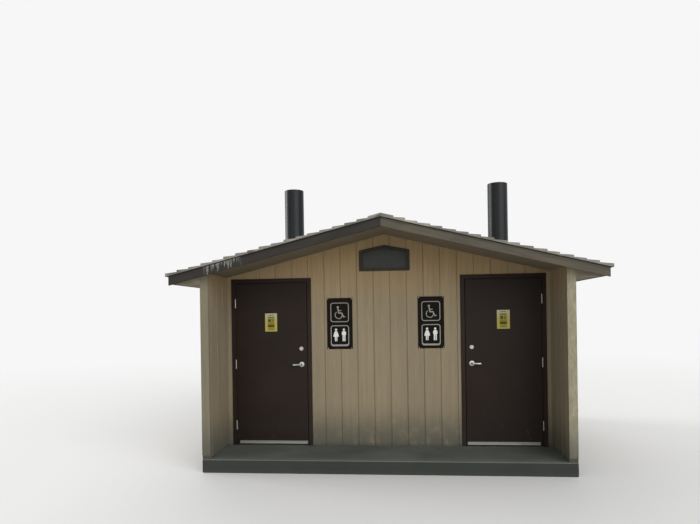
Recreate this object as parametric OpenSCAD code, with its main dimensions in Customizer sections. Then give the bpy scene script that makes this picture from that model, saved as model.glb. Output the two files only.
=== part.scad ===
// Wooden outhouse with two doors under one low gable roof.
// Millimetres, +Z up. The front faces -Y.
// Origin: centre of the floor slab's underside.

/* [Building] */
// Width of the wall strip between a door frame and a side wall
side_strip = 44.5; // [20:0.5:200]
// From the front wall's face to the rear wall's outer face
room_depth = 2990; // [2700:10:4000]
// How far the side walls run forward of the front wall
porch_depth = 735; // [400:5:900]
// Thickness of every wall
wall_thickness = 95; // [85:1:120]

/* [Floor] */
// Thickness of the concrete floor slab
slab_thickness = 152; // [100:1:220]

/* [Doorways] */
// Distance between the two door frames
doorway_spacing = 1829; // [1500:1:2200]
// Outside width of a door frame
frame_width = 1016; // [900:1:1100]
// Outside height of a door frame
frame_height = 2083; // [1980:1:2140]
// Height of the wall over a frame's outer corner
header_height = 35.5; // [10:0.5:200]
// Width of a frame's face
frame_face = 51; // [40:1:70]
// How far a frame stands in front of the wall
frame_proud = 8; // [4:1:14]
// Width of the stop the leaf closes towards
stop_width = 16; // [10:1:22]
// Thickness of a door leaf
door_thickness = 44; // [35:1:50]
// Gap at the leaf's hinge edge, top edge and stop
door_gap = 5; // [5:0.5:8]
// Gap at the leaf's lock edge
lock_edge_gap = 7; // [6.5:0.5:9]
// Height of a threshold
threshold_height = 13; // [8:1:20]
// Depth of a threshold, front to back
threshold_depth = 84; // [60:1:100]
// Gap at each end of a threshold
threshold_gap = 1; // [0.3:0.1:3]
// Gap between a threshold and the leaf
door_foot_gap = 6; // [5:0.5:10]

/* [Hinges] */
// Height of one hinge
hinge_height = 114; // [90:1:140]
// Knuckle diameter
knuckle_diameter = 13; // [11:0.5:13.5]
// Pin diameter
pin_diameter = 7; // [5:0.5:8]
// Radial clearance between a pin and a turning knuckle
pin_clearance = 0.05; // [0.02:0.01:0.1]
// Gap between a knuckle and the frame's face
knuckle_clearance = 0.5; // [0.3:0.1:1]
// Gap between neighbouring knuckles
knuckle_gap = 0.4; // [0.3:0.1:1]
// Thickness of a hinge plate
plate_thickness = 2.5; // [2:0.1:3]
// How far a plate reaches over the frame or the leaf's edge
plate_depth = 34; // [25:1:40]
// From the leaf's lower edge to the lower hinge's centre
lower_hinge_rise = 233; // [180:1:350]
// From the leaf's upper edge to the upper hinge's centre
upper_hinge_drop = 251; // [150:1:350]

/* [Locks] */
// Height of the lever over the floor
lever_height = 1007; // [900:1:1100]
// Height of the deadbolt over the lever
deadbolt_rise = 197; // [120:1:260]
// Distance of both from the leaf's lock edge
backset = 70; // [55:1:80]
// Rose diameter
rose_diameter = 66; // [55:1:75]
// Rose thickness
rose_thickness = 10; // [6:1:16]
// Length of a lever from its spindle's axis
lever_length = 118; // [90:1:130]
// Diameter of a lever's grip
grip_diameter = 20; // [14:1:24]
// Distance of the grip's axis from the leaf
grip_reach = 50; // [42:1:60]
// Deadbolt cylinder diameter
deadbolt_diameter = 58; // [45:1:62]
// Deadbolt cylinder projection
deadbolt_projection = 18; // [10:1:24]

/* [Roof] */
// Rise of the roof over its run
roof_rise = 250; // [200:5:400]
// Run of the roof for its rise
roof_run = 1000; // [800:10:1200]
// From a side wall's face to the edge of the shakes
eave_overhang = 335; // [200:1:450]
// From the end of the side walls to the rake board's face
rake_overhang = 150; // [100:1:250]
// How far the shakes pass the rake boards and the fascias
shake_overhang = 30; // [5:1:40]
// Vertical thickness of a roof panel
panel_thickness = 65; // [50:1:70]
// Vertical thickness of a shake course at its butt
shake_butt = 40; // [25:1:45]
// Vertical thickness of a shake course at its upper end
shake_tip = 20; // [10:1:24]
// Number of shake courses on each slope
shake_courses = 18; // [10:1:26]
// Thickness of the rake boards and the fascias
trim_thickness = 25; // [18:1:40]
// How far the rake boards hang below the roof panel
rake_drop = 35; // [20:1:45]
// From the roof panel's lower edge down to the soffit's underside
soffit_drop = 22; // [18:1:80]
// How far the fascias hang below the soffit
fascia_lip = 5; // [2:1:10]
// Thickness of the soffit boards
soffit_thickness = 12; // [9:1:16]
// Reach of the ridge cap to each side
cap_reach = 140; // [100:1:200]
// Vertical thickness of the ridge cap
cap_thickness = 20; // [15:1:40]
// Gap under pieces that lie along the slope
seat_gap = 0.3; // [0.2:0.1:0.6]

/* [Gable windows] */
// Outside width of a gable window's frame
window_width = 622; // [500:1:800]
// Outside height of a gable window's frame at its peak
window_height = 320; // [250:1:400]
// From the frame's peak down to its shoulders
window_shoulder_drop = 64; // [40:1:90]
// From the roof panel down to the frame's peak
window_gap = 132; // [80:1:200]
// Width of the frame's face
window_face = 34; // [25:1:45]
// How far the frame stands proud of the wall
window_proud = 8; // [4:1:15]
// Thickness of the pane
pane_thickness = 6; // [4:1:10]

/* [Vent stacks] */
// Outside diameter of a stack
stack_diameter = 324; // [250:1:360]
// Wall of a stack
stack_wall = 8; // [4:1:12]
// Gap between the left stack and its side wall
left_stack_gap = 187; // [10:1:400]
// Gap between the right stack and its side wall
right_stack_gap = 13; // [10:1:400]
// Gap between a stack and the rear wall
stack_rear_gap = 66; // [40:1:400]
// Height of the stacks over the ridge line
stack_over_ridge = 1046; // [600:1:1300]
// Gap around a stack where it passes the roof
stack_gap = 3; // [2:0.5:8]
// Width of a flashing plate
flashing_width = 500; // [420:1:600]
// Thickness of a flashing's sheet
flashing_thickness = 3; // [2:0.5:5]
// Height of a flashing's collar over its plate
collar_height = 110; // [90:1:160]

/* [Signs] */
// Width of a sign board
sign_width = 318; // [250:1:400]
// Height of a sign board
sign_height = 632; // [500:1:700]
// Thickness of a sign board
sign_thickness = 5; // [3:1:10]
// Gap between a sign board and the door frame
sign_gap = 196; // [80:1:400]
// Height of a sign's lower edge over the floor
sign_bottom = 1194; // [1000:1:1300]
// Width of a door notice
notice_width = 152; // [120:1:200]
// Height of a door notice
notice_height = 226; // [180:1:280]
// Thickness of a door notice
notice_thickness = 2; // [1:0.5:3]
// From the leaf's upper edge down to a notice's centre
notice_drop = 492; // [350:1:650]

/* [Hidden] */
$fn = 48;
eps = 1;
frame_half_width = frame_width / 2;
doorway_centre = doorway_spacing / 2 + frame_half_width;
doorway_edge = doorway_centre + frame_half_width;
inner_half_width = doorway_edge + side_strip;
half_width = inner_half_width + wall_thickness;
half_depth = (room_depth + porch_depth) / 2;
front_face = -half_depth + porch_depth;
front_inner = front_face + wall_thickness;
rear_inner = half_depth - wall_thickness;
floor_top = slab_thickness;

frame_front = front_face - frame_proud;
clear_half_width = frame_half_width - frame_face;
clear_height = frame_height - frame_face;
pocket_depth = door_thickness + door_gap;
door_top = floor_top + clear_height - door_gap;
door_bottom = floor_top + threshold_height + door_foot_gap;
hinge_edge = clear_half_width - door_gap;
lock_edge = -clear_half_width + lock_edge_gap;
pin_line = clear_half_width - door_gap / 2;
pin_reach = knuckle_diameter / 2 + knuckle_clearance;
knuckle_height = hinge_height / 5;
lower_hinge = door_bottom + lower_hinge_rise;
upper_hinge = door_top - upper_hinge_drop;
hinge_heights = [lower_hinge, (lower_hinge + upper_hinge) / 2, upper_hinge];
lever_line = lock_edge + backset;
notice_line = (hinge_edge + lock_edge) / 2;

roof_pitch = roof_rise / roof_run;
roof_half_width = half_width + eave_overhang;
panel_under_ridge = floor_top + frame_height + header_height + roof_pitch * doorway_edge;
panel_top_ridge = panel_under_ridge + panel_thickness;
ridge_height = panel_top_ridge + shake_butt;
fascia_outer = roof_half_width - shake_overhang;
panel_end = fascia_outer - trim_thickness;
soffit_height = under_at(panel_end) - soffit_drop;
rake_front = half_depth + rake_overhang;
panel_half_length = rake_front - trim_thickness;
shake_half_length = rake_front + shake_overhang;
course_width = roof_half_width / shake_courses;

window_half_width = window_width / 2;
window_peak = panel_under_ridge - window_gap;
window_bottom = window_peak - window_height;
window_slope = window_shoulder_drop / window_half_width;
stack_radius = stack_diameter / 2;
stack_line = rear_inner - stack_rear_gap - stack_radius;
stack_top = ridge_height + stack_over_ridge;
sign_outer = doorway_spacing / 2 - sign_gap;

timber_tan = [0.50, 0.44, 0.34];
trim_brown = [0.13, 0.10, 0.09];
shake_grey = [0.36, 0.34, 0.31];
steel_silver = [0.75, 0.75, 0.74];
concrete_grey = [0.50, 0.50, 0.47];
stack_black = [0.04, 0.04, 0.05];
pane_grey = [0.45, 0.46, 0.47];
notice_yellow = [0.88, 0.72, 0.15];

// Height of the roof panel's underside at a distance from the centre line.
function under_at(x) = panel_under_ridge - roof_pitch * abs(x);

// Height of a wall's top at a distance from the centre line.
function wall_top(x) = under_at(x) - seat_gap;

// Height of the roof panel's top at a distance from the centre line.
function top_at(x) = panel_top_ridge - roof_pitch * abs(x);

// Height of the line that the shakes' butts reach.
function butt_at(x) = ridge_height - roof_pitch * abs(x);

// Outline of a gable window, drawn in by an inset.
function window_outline(inset) = [
    [-window_half_width + inset, window_bottom + inset],
    [window_half_width - inset, window_bottom + inset],
    [window_half_width - inset, window_top(window_half_width - inset, inset)],
    [0, window_top(0, inset)],
    [-window_half_width + inset, window_top(window_half_width - inset, inset)]];

// Height of a window outline's sloping top at a distance from its middle.
function window_top(x, inset) = window_peak - window_slope * x
    - inset * sqrt(1 + window_slope * window_slope);

// Distance of a stack's axis from the centre line.
function stack_offset(side) = inner_half_width - stack_radius
    - (side < 0 ? left_stack_gap : right_stack_gap);

// Copies a right-hand piece to the left-hand side when side is -1.
module on_side(side) {
    if (side < 0) {
        mirror([1, 0, 0]) children();
    } else {
        children();
    }
}

// Draws a right-hand piece on both sides.
module on_both_sides() {
    for (side = [-1, 1]) {
        on_side(side) children();
    }
}

// Extrudes an outline drawn in X and Z from y = from to y = to.
module across(from, to) {
    translate([0, to, 0])
        rotate([90, 0, 0])
            linear_extrude(height = to - from) children();
}

// Box given by its two corners.
module block(low, high) {
    translate(low) cube(high - low);
}

// Wall slice between two distances on one side, up to the roof.
module wall_slice(from, to, bottom) {
    polygon([[from, bottom], [to, bottom], [to, wall_top(to)], [from, wall_top(from)]]);
}

module slab() {
    color(concrete_grey)
        block([-half_width, -half_depth, 0], [half_width, half_depth, slab_thickness]);
}

module side_wall(side) {
    color(timber_tan)
        on_side(side)
            across(-half_depth, half_depth)
                wall_slice(inner_half_width, half_width, floor_top);
}

// Gable-shaped slice over the centre line with a window opening.
module gable_slice(reach) {
    difference() {
        polygon([[-reach, floor_top], [reach, floor_top], [reach, wall_top(reach)],
            [0, wall_top(0)], [-reach, wall_top(reach)]]);
        polygon(window_outline(0));
    }
}

module rear_wall() {
    color(timber_tan)
        across(rear_inner, half_depth)
            gable_slice(inner_half_width);
}

module front_centre() {
    color(timber_tan)
        across(front_face, front_inner)
            gable_slice(doorway_spacing / 2);
}

module front_edge(side) {
    color(timber_tan)
        on_side(side)
            across(front_face, front_inner)
                wall_slice(doorway_edge, inner_half_width, floor_top);
}

module front_over_door(side) {
    color(timber_tan)
        on_side(side)
            across(front_face, front_inner)
                wall_slice(doorway_spacing / 2, doorway_edge, floor_top + frame_height);
}

// Door frame with a pocket for the leaf and a stop behind it.
module door_frame(side) {
    stop_half_width = clear_half_width - stop_width;
    color(trim_brown)
        on_side(side)
            translate([doorway_centre, 0, 0])
                difference() {
                    block([-frame_half_width, frame_front, floor_top],
                        [frame_half_width, front_inner, floor_top + frame_height]);
                    block([-clear_half_width, frame_front - eps, floor_top - eps],
                        [clear_half_width, frame_front + pocket_depth, floor_top + clear_height]);
                    block([-stop_half_width, frame_front - eps, floor_top - eps],
                        [stop_half_width, front_inner + eps,
                            floor_top + clear_height - stop_width]);
                    for (height = hinge_heights) {
                        translate([clear_half_width, frame_front, height]) plate_recess();
                    }
                }
}

// Room for one hinge plate, from the pin line's side of the frame inwards.
module plate_recess() {
    block([-eps, -eps, -hinge_height / 2], [plate_thickness, plate_depth, hinge_height / 2]);
}

module thresholds() {
    color(steel_silver)
        on_both_sides()
            translate([doorway_centre, 0, 0])
                block([-clear_half_width + stop_width + threshold_gap, frame_front, floor_top],
                    [clear_half_width - stop_width - threshold_gap,
                        frame_front + threshold_depth, floor_top + threshold_height]);
}

// One knuckle, counted from the bottom, centred on the pin line.
module knuckle(index, bore) {
    bottom = -hinge_height / 2 + index * knuckle_height;
    translate([0, 0, bottom + knuckle_gap / 2])
        difference() {
            cylinder(d = knuckle_diameter, h = knuckle_height - knuckle_gap);
            translate([0, 0, -eps]) cylinder(r = bore, h = knuckle_height + 2 * eps);
        }
}

// Fixed half of one hinge: plate, three knuckles and the pin.
module fixed_hinge_half() {
    plate_start = door_gap / 2;
    cylinder(d = pin_diameter, h = hinge_height, center = true);
    for (index = [0, 2, 4]) {
        bottom = -hinge_height / 2 + index * knuckle_height + knuckle_gap / 2;
        translate([0, 0, bottom])
            cylinder(d = knuckle_diameter, h = knuckle_height - knuckle_gap);
        block([plate_start, 0, bottom],
            [plate_start + plate_thickness, pin_reach + eps, bottom + knuckle_height - knuckle_gap]);
    }
    block([plate_start, pin_reach, -hinge_height / 2],
        [plate_start + plate_thickness, pin_reach + plate_depth, hinge_height / 2]);
}

// Turning half of one hinge: plate and two bored knuckles.
module turning_hinge_half() {
    plate_start = -door_gap / 2;
    bore = pin_diameter / 2 + pin_clearance;
    for (index = [1, 3]) {
        bottom = -hinge_height / 2 + index * knuckle_height + knuckle_gap / 2;
        difference() {
            union() {
                knuckle(index, bore);
                block([plate_start - plate_thickness, 0, bottom],
                    [plate_start, pin_reach + eps, bottom + knuckle_height - knuckle_gap]);
            }
            translate([0, 0, bottom - eps]) cylinder(r = bore, h = knuckle_height + 2 * eps);
        }
    }
    block([plate_start - plate_thickness, pin_reach, -hinge_height / 2],
        [plate_start, pin_reach + plate_depth, hinge_height / 2]);
}

// Places one hinge half at each of the three heights.
module at_hinges(side) {
    color(steel_silver)
        on_side(side)
            for (height = hinge_heights) {
                translate([doorway_centre + pin_line, frame_front - pin_reach, height]) children();
            }
}

module frame_hinges(side) {
    at_hinges(side) fixed_hinge_half();
}

module door_hinges(side) {
    at_hinges(side) turning_hinge_half();
}

// Flush leaf with recesses for the hinge plates.
module door_leaf(side) {
    color(trim_brown)
        on_side(side)
            translate([doorway_centre, frame_front, 0])
                difference() {
                    block([lock_edge, 0, door_bottom], [hinge_edge, door_thickness, door_top]);
                    for (height = hinge_heights) {
                        block([hinge_edge - plate_thickness, -eps, height - hinge_height / 2],
                            [hinge_edge + eps, plate_depth, height + hinge_height / 2]);
                    }
                }
}

// One lever with its rose, standing out from y = 0 towards -Y.
module lever() {
    rotate([90, 0, 0]) {
        cylinder(d = rose_diameter, h = rose_thickness);
        cylinder(d = grip_diameter, h = grip_reach);
    }
    translate([0, -grip_reach, 0]) {
        sphere(d = grip_diameter);
        rotate([0, 90, 0]) cylinder(d = grip_diameter, h = lever_length - grip_diameter / 2);
        translate([lever_length - grip_diameter / 2, 0, 0]) sphere(d = grip_diameter);
    }
}

module lever_set(side) {
    color(steel_silver)
        on_side(side)
            translate([doorway_centre + lever_line, frame_front, floor_top + lever_height]) {
                lever();
                translate([0, door_thickness, 0]) mirror([0, 1, 0]) lever();
            }
}

module deadbolt(side) {
    color(steel_silver)
        on_side(side)
            translate([doorway_centre + lever_line, frame_front,
                floor_top + lever_height + deadbolt_rise]) {
                rotate([90, 0, 0]) cylinder(d = deadbolt_diameter, h = deadbolt_projection);
                translate([0, door_thickness, 0])
                    rotate([-90, 0, 0]) cylinder(d = deadbolt_diameter, h = rose_thickness);
            }
}

module sign_board(side) {
    color(trim_brown)
        on_side(side)
            block([sign_outer - sign_width, front_face - sign_thickness, floor_top + sign_bottom],
                [sign_outer, front_face, floor_top + sign_bottom + sign_height]);
}

module notice(side) {
    centre = doorway_centre + notice_line;
    bottom = door_top - notice_drop - notice_height / 2;
    color(notice_yellow)
        on_side(side)
            block([centre - notice_width / 2, frame_front - notice_thickness, bottom],
                [centre + notice_width / 2, frame_front, bottom + notice_height]);
}

// Frame of a gable window in the front wall.
module window_frame() {
    color(trim_brown)
        across(front_face - window_proud, front_inner)
            difference() {
                polygon(window_outline(0));
                polygon(window_outline(window_face));
            }
}

module window_pane() {
    middle = (front_face + front_inner) / 2;
    color(pane_grey)
        across(middle - pane_thickness / 2, middle + pane_thickness / 2)
            polygon(window_outline(window_face));
}

// Turns a front wall piece about to the rear wall.
module to_rear() {
    mirror([0, 1, 0])
        translate([0, -porch_depth, 0]) children();
}

// Roof slope slice between two heights under and over the panel lines.
module slope_slice(from, to, under, over) {
    polygon([[from, under_at(from) - under], [to, under_at(to) - under],
        [to, top_at(to) + over], [from, top_at(from) + over]]);
}

// Upright hole for a stack through the roof.
module stack_hole(side) {
    translate([stack_offset(side), stack_line, floor_top])
        cylinder(r = stack_radius + stack_gap, h = stack_top);
}

module roof_panel(side) {
    color(timber_tan)
        on_side(side)
            difference() {
                across(-panel_half_length, panel_half_length)
                    slope_slice(0, panel_end, 0, 0);
                stack_hole(side);
            }
}

// One course of shakes, thin at its upper end and thick at its butt.
module shake_course(index) {
    from = index * course_width;
    to = from + course_width;
    polygon([[from, top_at(from) + seat_gap], [to, top_at(to) + seat_gap],
        [to, top_at(to) + shake_butt], [from, top_at(from) + shake_tip]]);
}

module shakes(side) {
    color(shake_grey)
        on_side(side)
            difference() {
                across(-shake_half_length, shake_half_length)
                    for (index = [0 : shake_courses - 1]) {
                        shake_course(index);
                    }
                stack_hole(side);
            }
}

// Folded cap that lies on the first courses.
module ridge_cap() {
    rise = shake_tip + (shake_butt - shake_tip) * cap_reach / course_width;
    ridge_under = top_at(0) + shake_tip + seat_gap;
    edge_under = top_at(cap_reach) + rise + seat_gap;
    color(shake_grey)
        across(-shake_half_length, shake_half_length)
            polygon([[0, ridge_under], [cap_reach, edge_under],
                [cap_reach, edge_under + cap_thickness], [0, ridge_under + cap_thickness],
                [-cap_reach, edge_under + cap_thickness], [-cap_reach, edge_under]]);
}

module rake_board(side, end) {
    color(trim_brown)
        on_side(side)
            mirror([0, end, 0])
                across(-rake_front, -panel_half_length)
                    slope_slice(0, fascia_outer, rake_drop, 0);
}

module fascias() {
    color(trim_brown)
        on_both_sides()
            across(-panel_half_length, panel_half_length)
                polygon([[panel_end, soffit_height - fascia_lip],
                    [fascia_outer, soffit_height - fascia_lip],
                    [fascia_outer, top_at(fascia_outer)], [panel_end, top_at(panel_end)]]);
}

// Level board under each eave with its two end closers.
module soffits() {
    color(timber_tan)
        on_both_sides() {
            across(-half_depth, half_depth)
                polygon([[half_width, soffit_height], [panel_end, soffit_height],
                    [panel_end, soffit_height + soffit_thickness],
                    [half_width, soffit_height + soffit_thickness]]);
            for (end = [0, 1]) {
                mirror([0, end, 0])
                    across(-half_depth, -half_depth + soffit_thickness)
                        polygon([[half_width, soffit_height], [panel_end, soffit_height],
                            [panel_end, wall_top(panel_end)], [half_width, wall_top(half_width)]]);
            }
        }
}

// Open pipe from the floor to above the roof.
module vent_stack(side) {
    color(stack_black)
        on_side(side)
            translate([stack_offset(side), stack_line, floor_top])
                difference() {
                    cylinder(r = stack_radius, h = stack_top - floor_top);
                    translate([0, 0, -eps])
                        cylinder(r = stack_radius - stack_wall, h = stack_top);
                }
}

// Sloping plate and upright collar around a stack.
module stack_flashing(side) {
    centre = stack_offset(side);
    near = centre - flashing_width / 2;
    far = centre + flashing_width / 2;
    near_under = butt_at(near) + seat_gap;
    far_under = butt_at(far) + seat_gap;
    collar_radius = stack_radius + stack_gap + flashing_thickness;
    color(stack_black)
        on_side(side)
            difference() {
                union() {
                    across(stack_line - flashing_width / 2, stack_line + flashing_width / 2)
                        polygon([[near, near_under], [far, far_under],
                            [far, far_under + flashing_thickness],
                            [near, near_under + flashing_thickness]]);
                    difference() {
                        translate([centre, stack_line, far_under])
                            cylinder(r = collar_radius,
                                h = butt_at(centre) - far_under + collar_height);
                        across(stack_line - flashing_width, stack_line + flashing_width)
                            polygon([[near, near_under], [far, far_under],
                                [far, far_under - flashing_width],
                                [near, near_under - flashing_width]]);
                    }
                }
                stack_hole(side);
            }
}

slab();  // floor_slab
side_wall(-1);  // left_side_wall
side_wall(1);  // right_side_wall
rear_wall();
front_centre();  // front_wall_centre
front_edge(-1);  // front_wall_left_edge
front_edge(1);  // front_wall_right_edge
front_over_door(-1);  // front_wall_over_left_door
front_over_door(1);  // front_wall_over_right_door
door_frame(-1);  // left_door_frame
door_frame(1);  // right_door_frame
thresholds();
frame_hinges(-1);  // left_frame_hinges
frame_hinges(1);  // right_frame_hinges
door_leaf(-1);  // left_door
door_leaf(1);  // right_door
door_hinges(-1);  // left_door_hinges
door_hinges(1);  // right_door_hinges
lever_set(-1);  // left_lever_set
lever_set(1);  // right_lever_set
deadbolt(-1);  // left_deadbolt
deadbolt(1);  // right_deadbolt
sign_board(-1);  // left_sign
sign_board(1);  // right_sign
notice(-1);  // left_notice
notice(1);  // right_notice
window_frame();  // front_window_frame
window_pane();  // front_window_pane
to_rear() window_frame();  // rear_window_frame
to_rear() window_pane();  // rear_window_pane
roof_panel(-1);  // left_roof_panel
roof_panel(1);  // right_roof_panel
shakes(-1);  // left_shakes
shakes(1);  // right_shakes
ridge_cap();
rake_board(-1, 0);  // front_left_rake
rake_board(1, 0);  // front_right_rake
rake_board(-1, 1);  // rear_left_rake
rake_board(1, 1);  // rear_right_rake
fascias();  // eave_fascias
soffits();  // eave_soffits
vent_stack(-1);  // left_vent_stack
vent_stack(1);  // right_vent_stack
stack_flashing(-1);  // left_stack_flashing
stack_flashing(1);  // right_stack_flashing
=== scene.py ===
"""Wooden outhouse: surfaces and finishes built around the loaded frame.

Metres, +Z up, the front faces -Y. Every new piece is a grid of points worked
out with numpy, and every finish is a tree of procedural nodes.
"""

import math

import bpy
import numpy as np
from mathutils import Matrix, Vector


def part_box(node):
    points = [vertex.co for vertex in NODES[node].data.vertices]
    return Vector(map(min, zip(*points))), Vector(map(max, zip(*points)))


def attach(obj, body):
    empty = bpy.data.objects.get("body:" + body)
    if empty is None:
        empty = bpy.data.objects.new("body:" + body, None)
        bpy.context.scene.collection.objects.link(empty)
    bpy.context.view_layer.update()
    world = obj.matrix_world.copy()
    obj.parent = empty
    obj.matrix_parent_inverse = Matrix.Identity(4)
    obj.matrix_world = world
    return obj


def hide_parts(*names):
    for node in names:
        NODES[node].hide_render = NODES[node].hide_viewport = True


bl_info = {
    "name": "Wooden outhouse",
    "version": (1, 0, 0),
    "blender": (4, 5, 0),
    "location": "View3D > Sidebar > Outhouse",
    "description": "Siding, shakes, hardware, signs and finishes of a wooden outhouse",
    "category": "Object",
}

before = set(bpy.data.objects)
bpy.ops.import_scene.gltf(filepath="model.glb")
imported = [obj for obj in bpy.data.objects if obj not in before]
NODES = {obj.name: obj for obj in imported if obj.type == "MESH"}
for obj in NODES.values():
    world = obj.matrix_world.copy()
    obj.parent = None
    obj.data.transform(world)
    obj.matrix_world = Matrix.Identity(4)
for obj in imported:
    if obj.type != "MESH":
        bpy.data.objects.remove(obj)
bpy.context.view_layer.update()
BODY = "building"
SIDES = (("left", -1), ("right", 1))
GAP = 0.0003  # between pieces that would touch


def low(node):
    """Lowest corner of a solid."""
    return np.array(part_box(node)[0])


def high(node):
    """Highest corner of a solid."""
    return np.array(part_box(node)[1])


def corners(node):
    """Both corners of a solid."""
    return low(node), high(node)


def centre(node):
    """Middle of a solid's box."""
    return (low(node) + high(node)) / 2


def outer_top(node):
    """Height of a solid's highest point at its right-hand edge."""
    vertices = NODES[node].data.vertices
    places = np.empty(len(vertices) * 3, np.float32)
    vertices.foreach_get("co", places)
    places = places.reshape(-1, 3)
    return float(places[places[:, 0] > places[:, 0].max() - 0.00001, 2].max())


FLOOR = high("floor_slab")[2]
FRONT, FRONT_INNER = low("front_wall_centre")[1], high("front_wall_centre")[1]
REAR_INNER, REAR = low("rear_wall")[1], high("rear_wall")[1]
DOORWAY_EDGE = high("front_wall_centre")[0]
FRAME_EDGE = low("front_wall_right_edge")[0]
WALL_INNER, WALL_OUTER = low("right_side_wall")[0], high("right_side_wall")[0]
WALL_PEAK = high("front_wall_centre")[2]
PANEL_END, _, PANEL_PEAK = high("right_roof_panel")
PITCH = (PANEL_PEAK - outer_top("right_roof_panel")) / PANEL_END
ROOF_EDGE, ROOF_HALF_LENGTH, SHAKE_PEAK = high("right_shakes")
SHAKE_TIP = SHAKE_PEAK - PANEL_PEAK
SEAT = low("right_shakes")[2] - PANEL_PEAK + PITCH * ROOF_EDGE
BUTT_PEAK = low("right_stack_flashing")[2] - SEAT + PITCH * high("right_stack_flashing")[0]
CAP_THICKNESS = high("ridge_cap")[2] - PANEL_PEAK - SHAKE_TIP - SEAT
WINDOW_LOW, WINDOW_HIGH = corners("front_window_frame")
SHOULDER = WINDOW_HIGH[2] - outer_top("front_window_frame")
STACK_LOW, STACK_HIGH = corners("right_vent_stack")
STACK_RADIUS = (STACK_HIGH[0] - STACK_LOW[0]) / 2
STACK_Y = centre("right_vent_stack")[1]
STACK_OFFSET = {name: abs(centre(f"{name}_vent_stack")[0]) for name, _ in SIDES}


# Shapes


def points(x, y, z):
    """Points from their coordinates, spread to one shape."""
    return np.stack(np.broadcast_arrays(x, y, z), -1).astype(float)


def sections(*corners):
    """Grid whose sections have these corners, each an (x, y, z) of stations."""
    return np.stack([points(*corner) for corner in corners], -2)


def unit(rows):
    """Each row divided by its length."""
    return rows / np.linalg.norm(rows, axis=1, keepdims=True)


def corner_products(places, faces):
    """Sum over each face's fan of triangles of a . (b x c), for every piece."""
    total = np.zeros(len(places))
    for k in range(1, faces.shape[1] - 1):
        a, b, c = (places[:, faces[:, i]] for i in (0, k, k + 1))
        total += np.einsum("pfi,pfi->p", a, np.cross(b, c))
    return total


class Shape:
    """Closed surfaces collected as point grids and made into one mesh."""

    def __init__(self, seed=1):
        self.points, self.faces, self.tint, self.soil = [], [], [], []
        self.count = 0
        self.random = np.random.default_rng(seed)

    def add(self, grids, wrap=False, soil=0.0):
        """Adds pieces given as points (pieces, sections, around, 3).

        Each section closes on itself; faces join it to the next one. The end
        sections are closed with flat faces, or joined when wrap is set. A piece
        whose signed volume, the sum of its corner products, is negative has its
        faces turned over. Each piece draws its own tint.
        """
        grids = np.asarray(grids, float)
        grids = grids.reshape((-1,) + grids.shape[-3:])
        pieces, rows, around = grids.shape[:3]
        here, along = np.indices((rows if wrap else rows - 1, around))
        after, beside = (here + 1) % rows, (along + 1) % around
        quads = np.stack([here * around + along, here * around + beside,
                          after * around + beside, after * around + along], -1)
        families = [quads.reshape(-1, 4)]
        if not wrap:
            rim = np.arange(around)
            families.append(np.stack([rim[::-1], (rows - 1) * around + rim]))
        flat = grids.reshape(pieces, -1, 3)
        centred = flat - flat.mean(1, keepdims=True)
        volume = sum(corner_products(centred, faces) for faces in families)
        inside_out = (volume < 0)[:, None, None]
        start = self.count + np.arange(pieces)[:, None, None] * rows * around
        for faces in families:
            placed = faces[None] + start
            placed = np.where(inside_out, placed[..., ::-1], placed)
            self.faces += placed.reshape(-1, faces.shape[1]).tolist()
        self.points.append(flat.reshape(-1, 3))
        self.tint.append(np.repeat(self.random.random(pieces), rows * around))
        self.soil.append(np.broadcast_to(soil, grids.shape[:3]).reshape(-1))
        self.count += pieces * rows * around
        return self

    def build(self, name, coat, slot, body=BODY, replaces=None, smooth=None, bevel=0):
        """Makes the mesh object, lets it ride on its body and hides the part it replaces."""
        mesh = bpy.data.meshes.new(name)
        mesh.from_pydata(np.concatenate(self.points).tolist(), [], self.faces)
        for label, values in (("tint", self.tint), ("soil", self.soil)):
            layer = mesh.attributes.new(label, "FLOAT", "POINT")
            layer.data.foreach_set("value", np.concatenate(values).astype(np.float32))
        if smooth is not None:
            mesh.polygons.foreach_set("use_smooth", np.ones(len(mesh.polygons), bool))
            mesh.set_sharp_from_angle(angle=math.radians(smooth))
        mesh.materials.append(finish(coat))
        mesh.update()
        piece = link(name, mesh)
        if bevel:
            add_bevel(piece, bevel)
        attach(piece, body)
        if replaces:
            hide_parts(replaces)
        return piece


def link(name, data):
    """A new object in the scene."""
    made = bpy.data.objects.new(name, data)
    bpy.context.scene.collection.objects.link(made)
    return made


def add_bevel(piece, width):
    """Rounds the edges sharper than 30 degrees."""
    bevel = piece.modifiers.new("Rounded edges", "BEVEL")
    bevel.width = width
    bevel.segments = 2
    bevel.limit_method = "ANGLE"
    bevel.angle_limit = math.radians(30)


def soften(node, coat, width=0.0):
    """Gives a solid its finish, joins its loose triangles and rounds its edges."""
    piece = NODES[node]
    piece.data.materials.clear()
    piece.data.materials.append(finish(coat))
    if width:
        weld = piece.modifiers.new("Joined corners", "WELD")
        weld.merge_threshold = 0.00002
        add_bevel(piece, width)


def ring(count):
    """Cosines and sines of count equal steps round a circle."""
    angle = np.arange(count) * 2 * math.pi / count
    return np.cos(angle), np.sin(angle)


def turned(profile, place, axis="y", count=48):
    """A profile of (radius, distance) turned about an axis: r cos t, r sin t, d."""
    radius, reach = np.asarray(profile, float).T[..., None]
    cos, sin = ring(count)
    first, second = radius * cos, radius * sin
    order = {"z": (first, second, reach), "y": (first, reach, second)}[axis]
    return points(*order) + place


def swept(path, outlines):
    """Outlines of (side, rise) carried along a path, square to its direction.

    The direction is the path's central difference d; the side is d x z and the
    rise is side x d, so a point is p + side * a + rise * b.
    """
    heading = unit(np.gradient(path, axis=0))
    side = unit(np.cross(heading, [0.0, 0.0, 1.0]))
    rise = np.cross(side, heading)
    return path[:, None] + side[:, None] * outlines[..., :1] + rise[:, None] * outlines[..., 1:]


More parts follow.
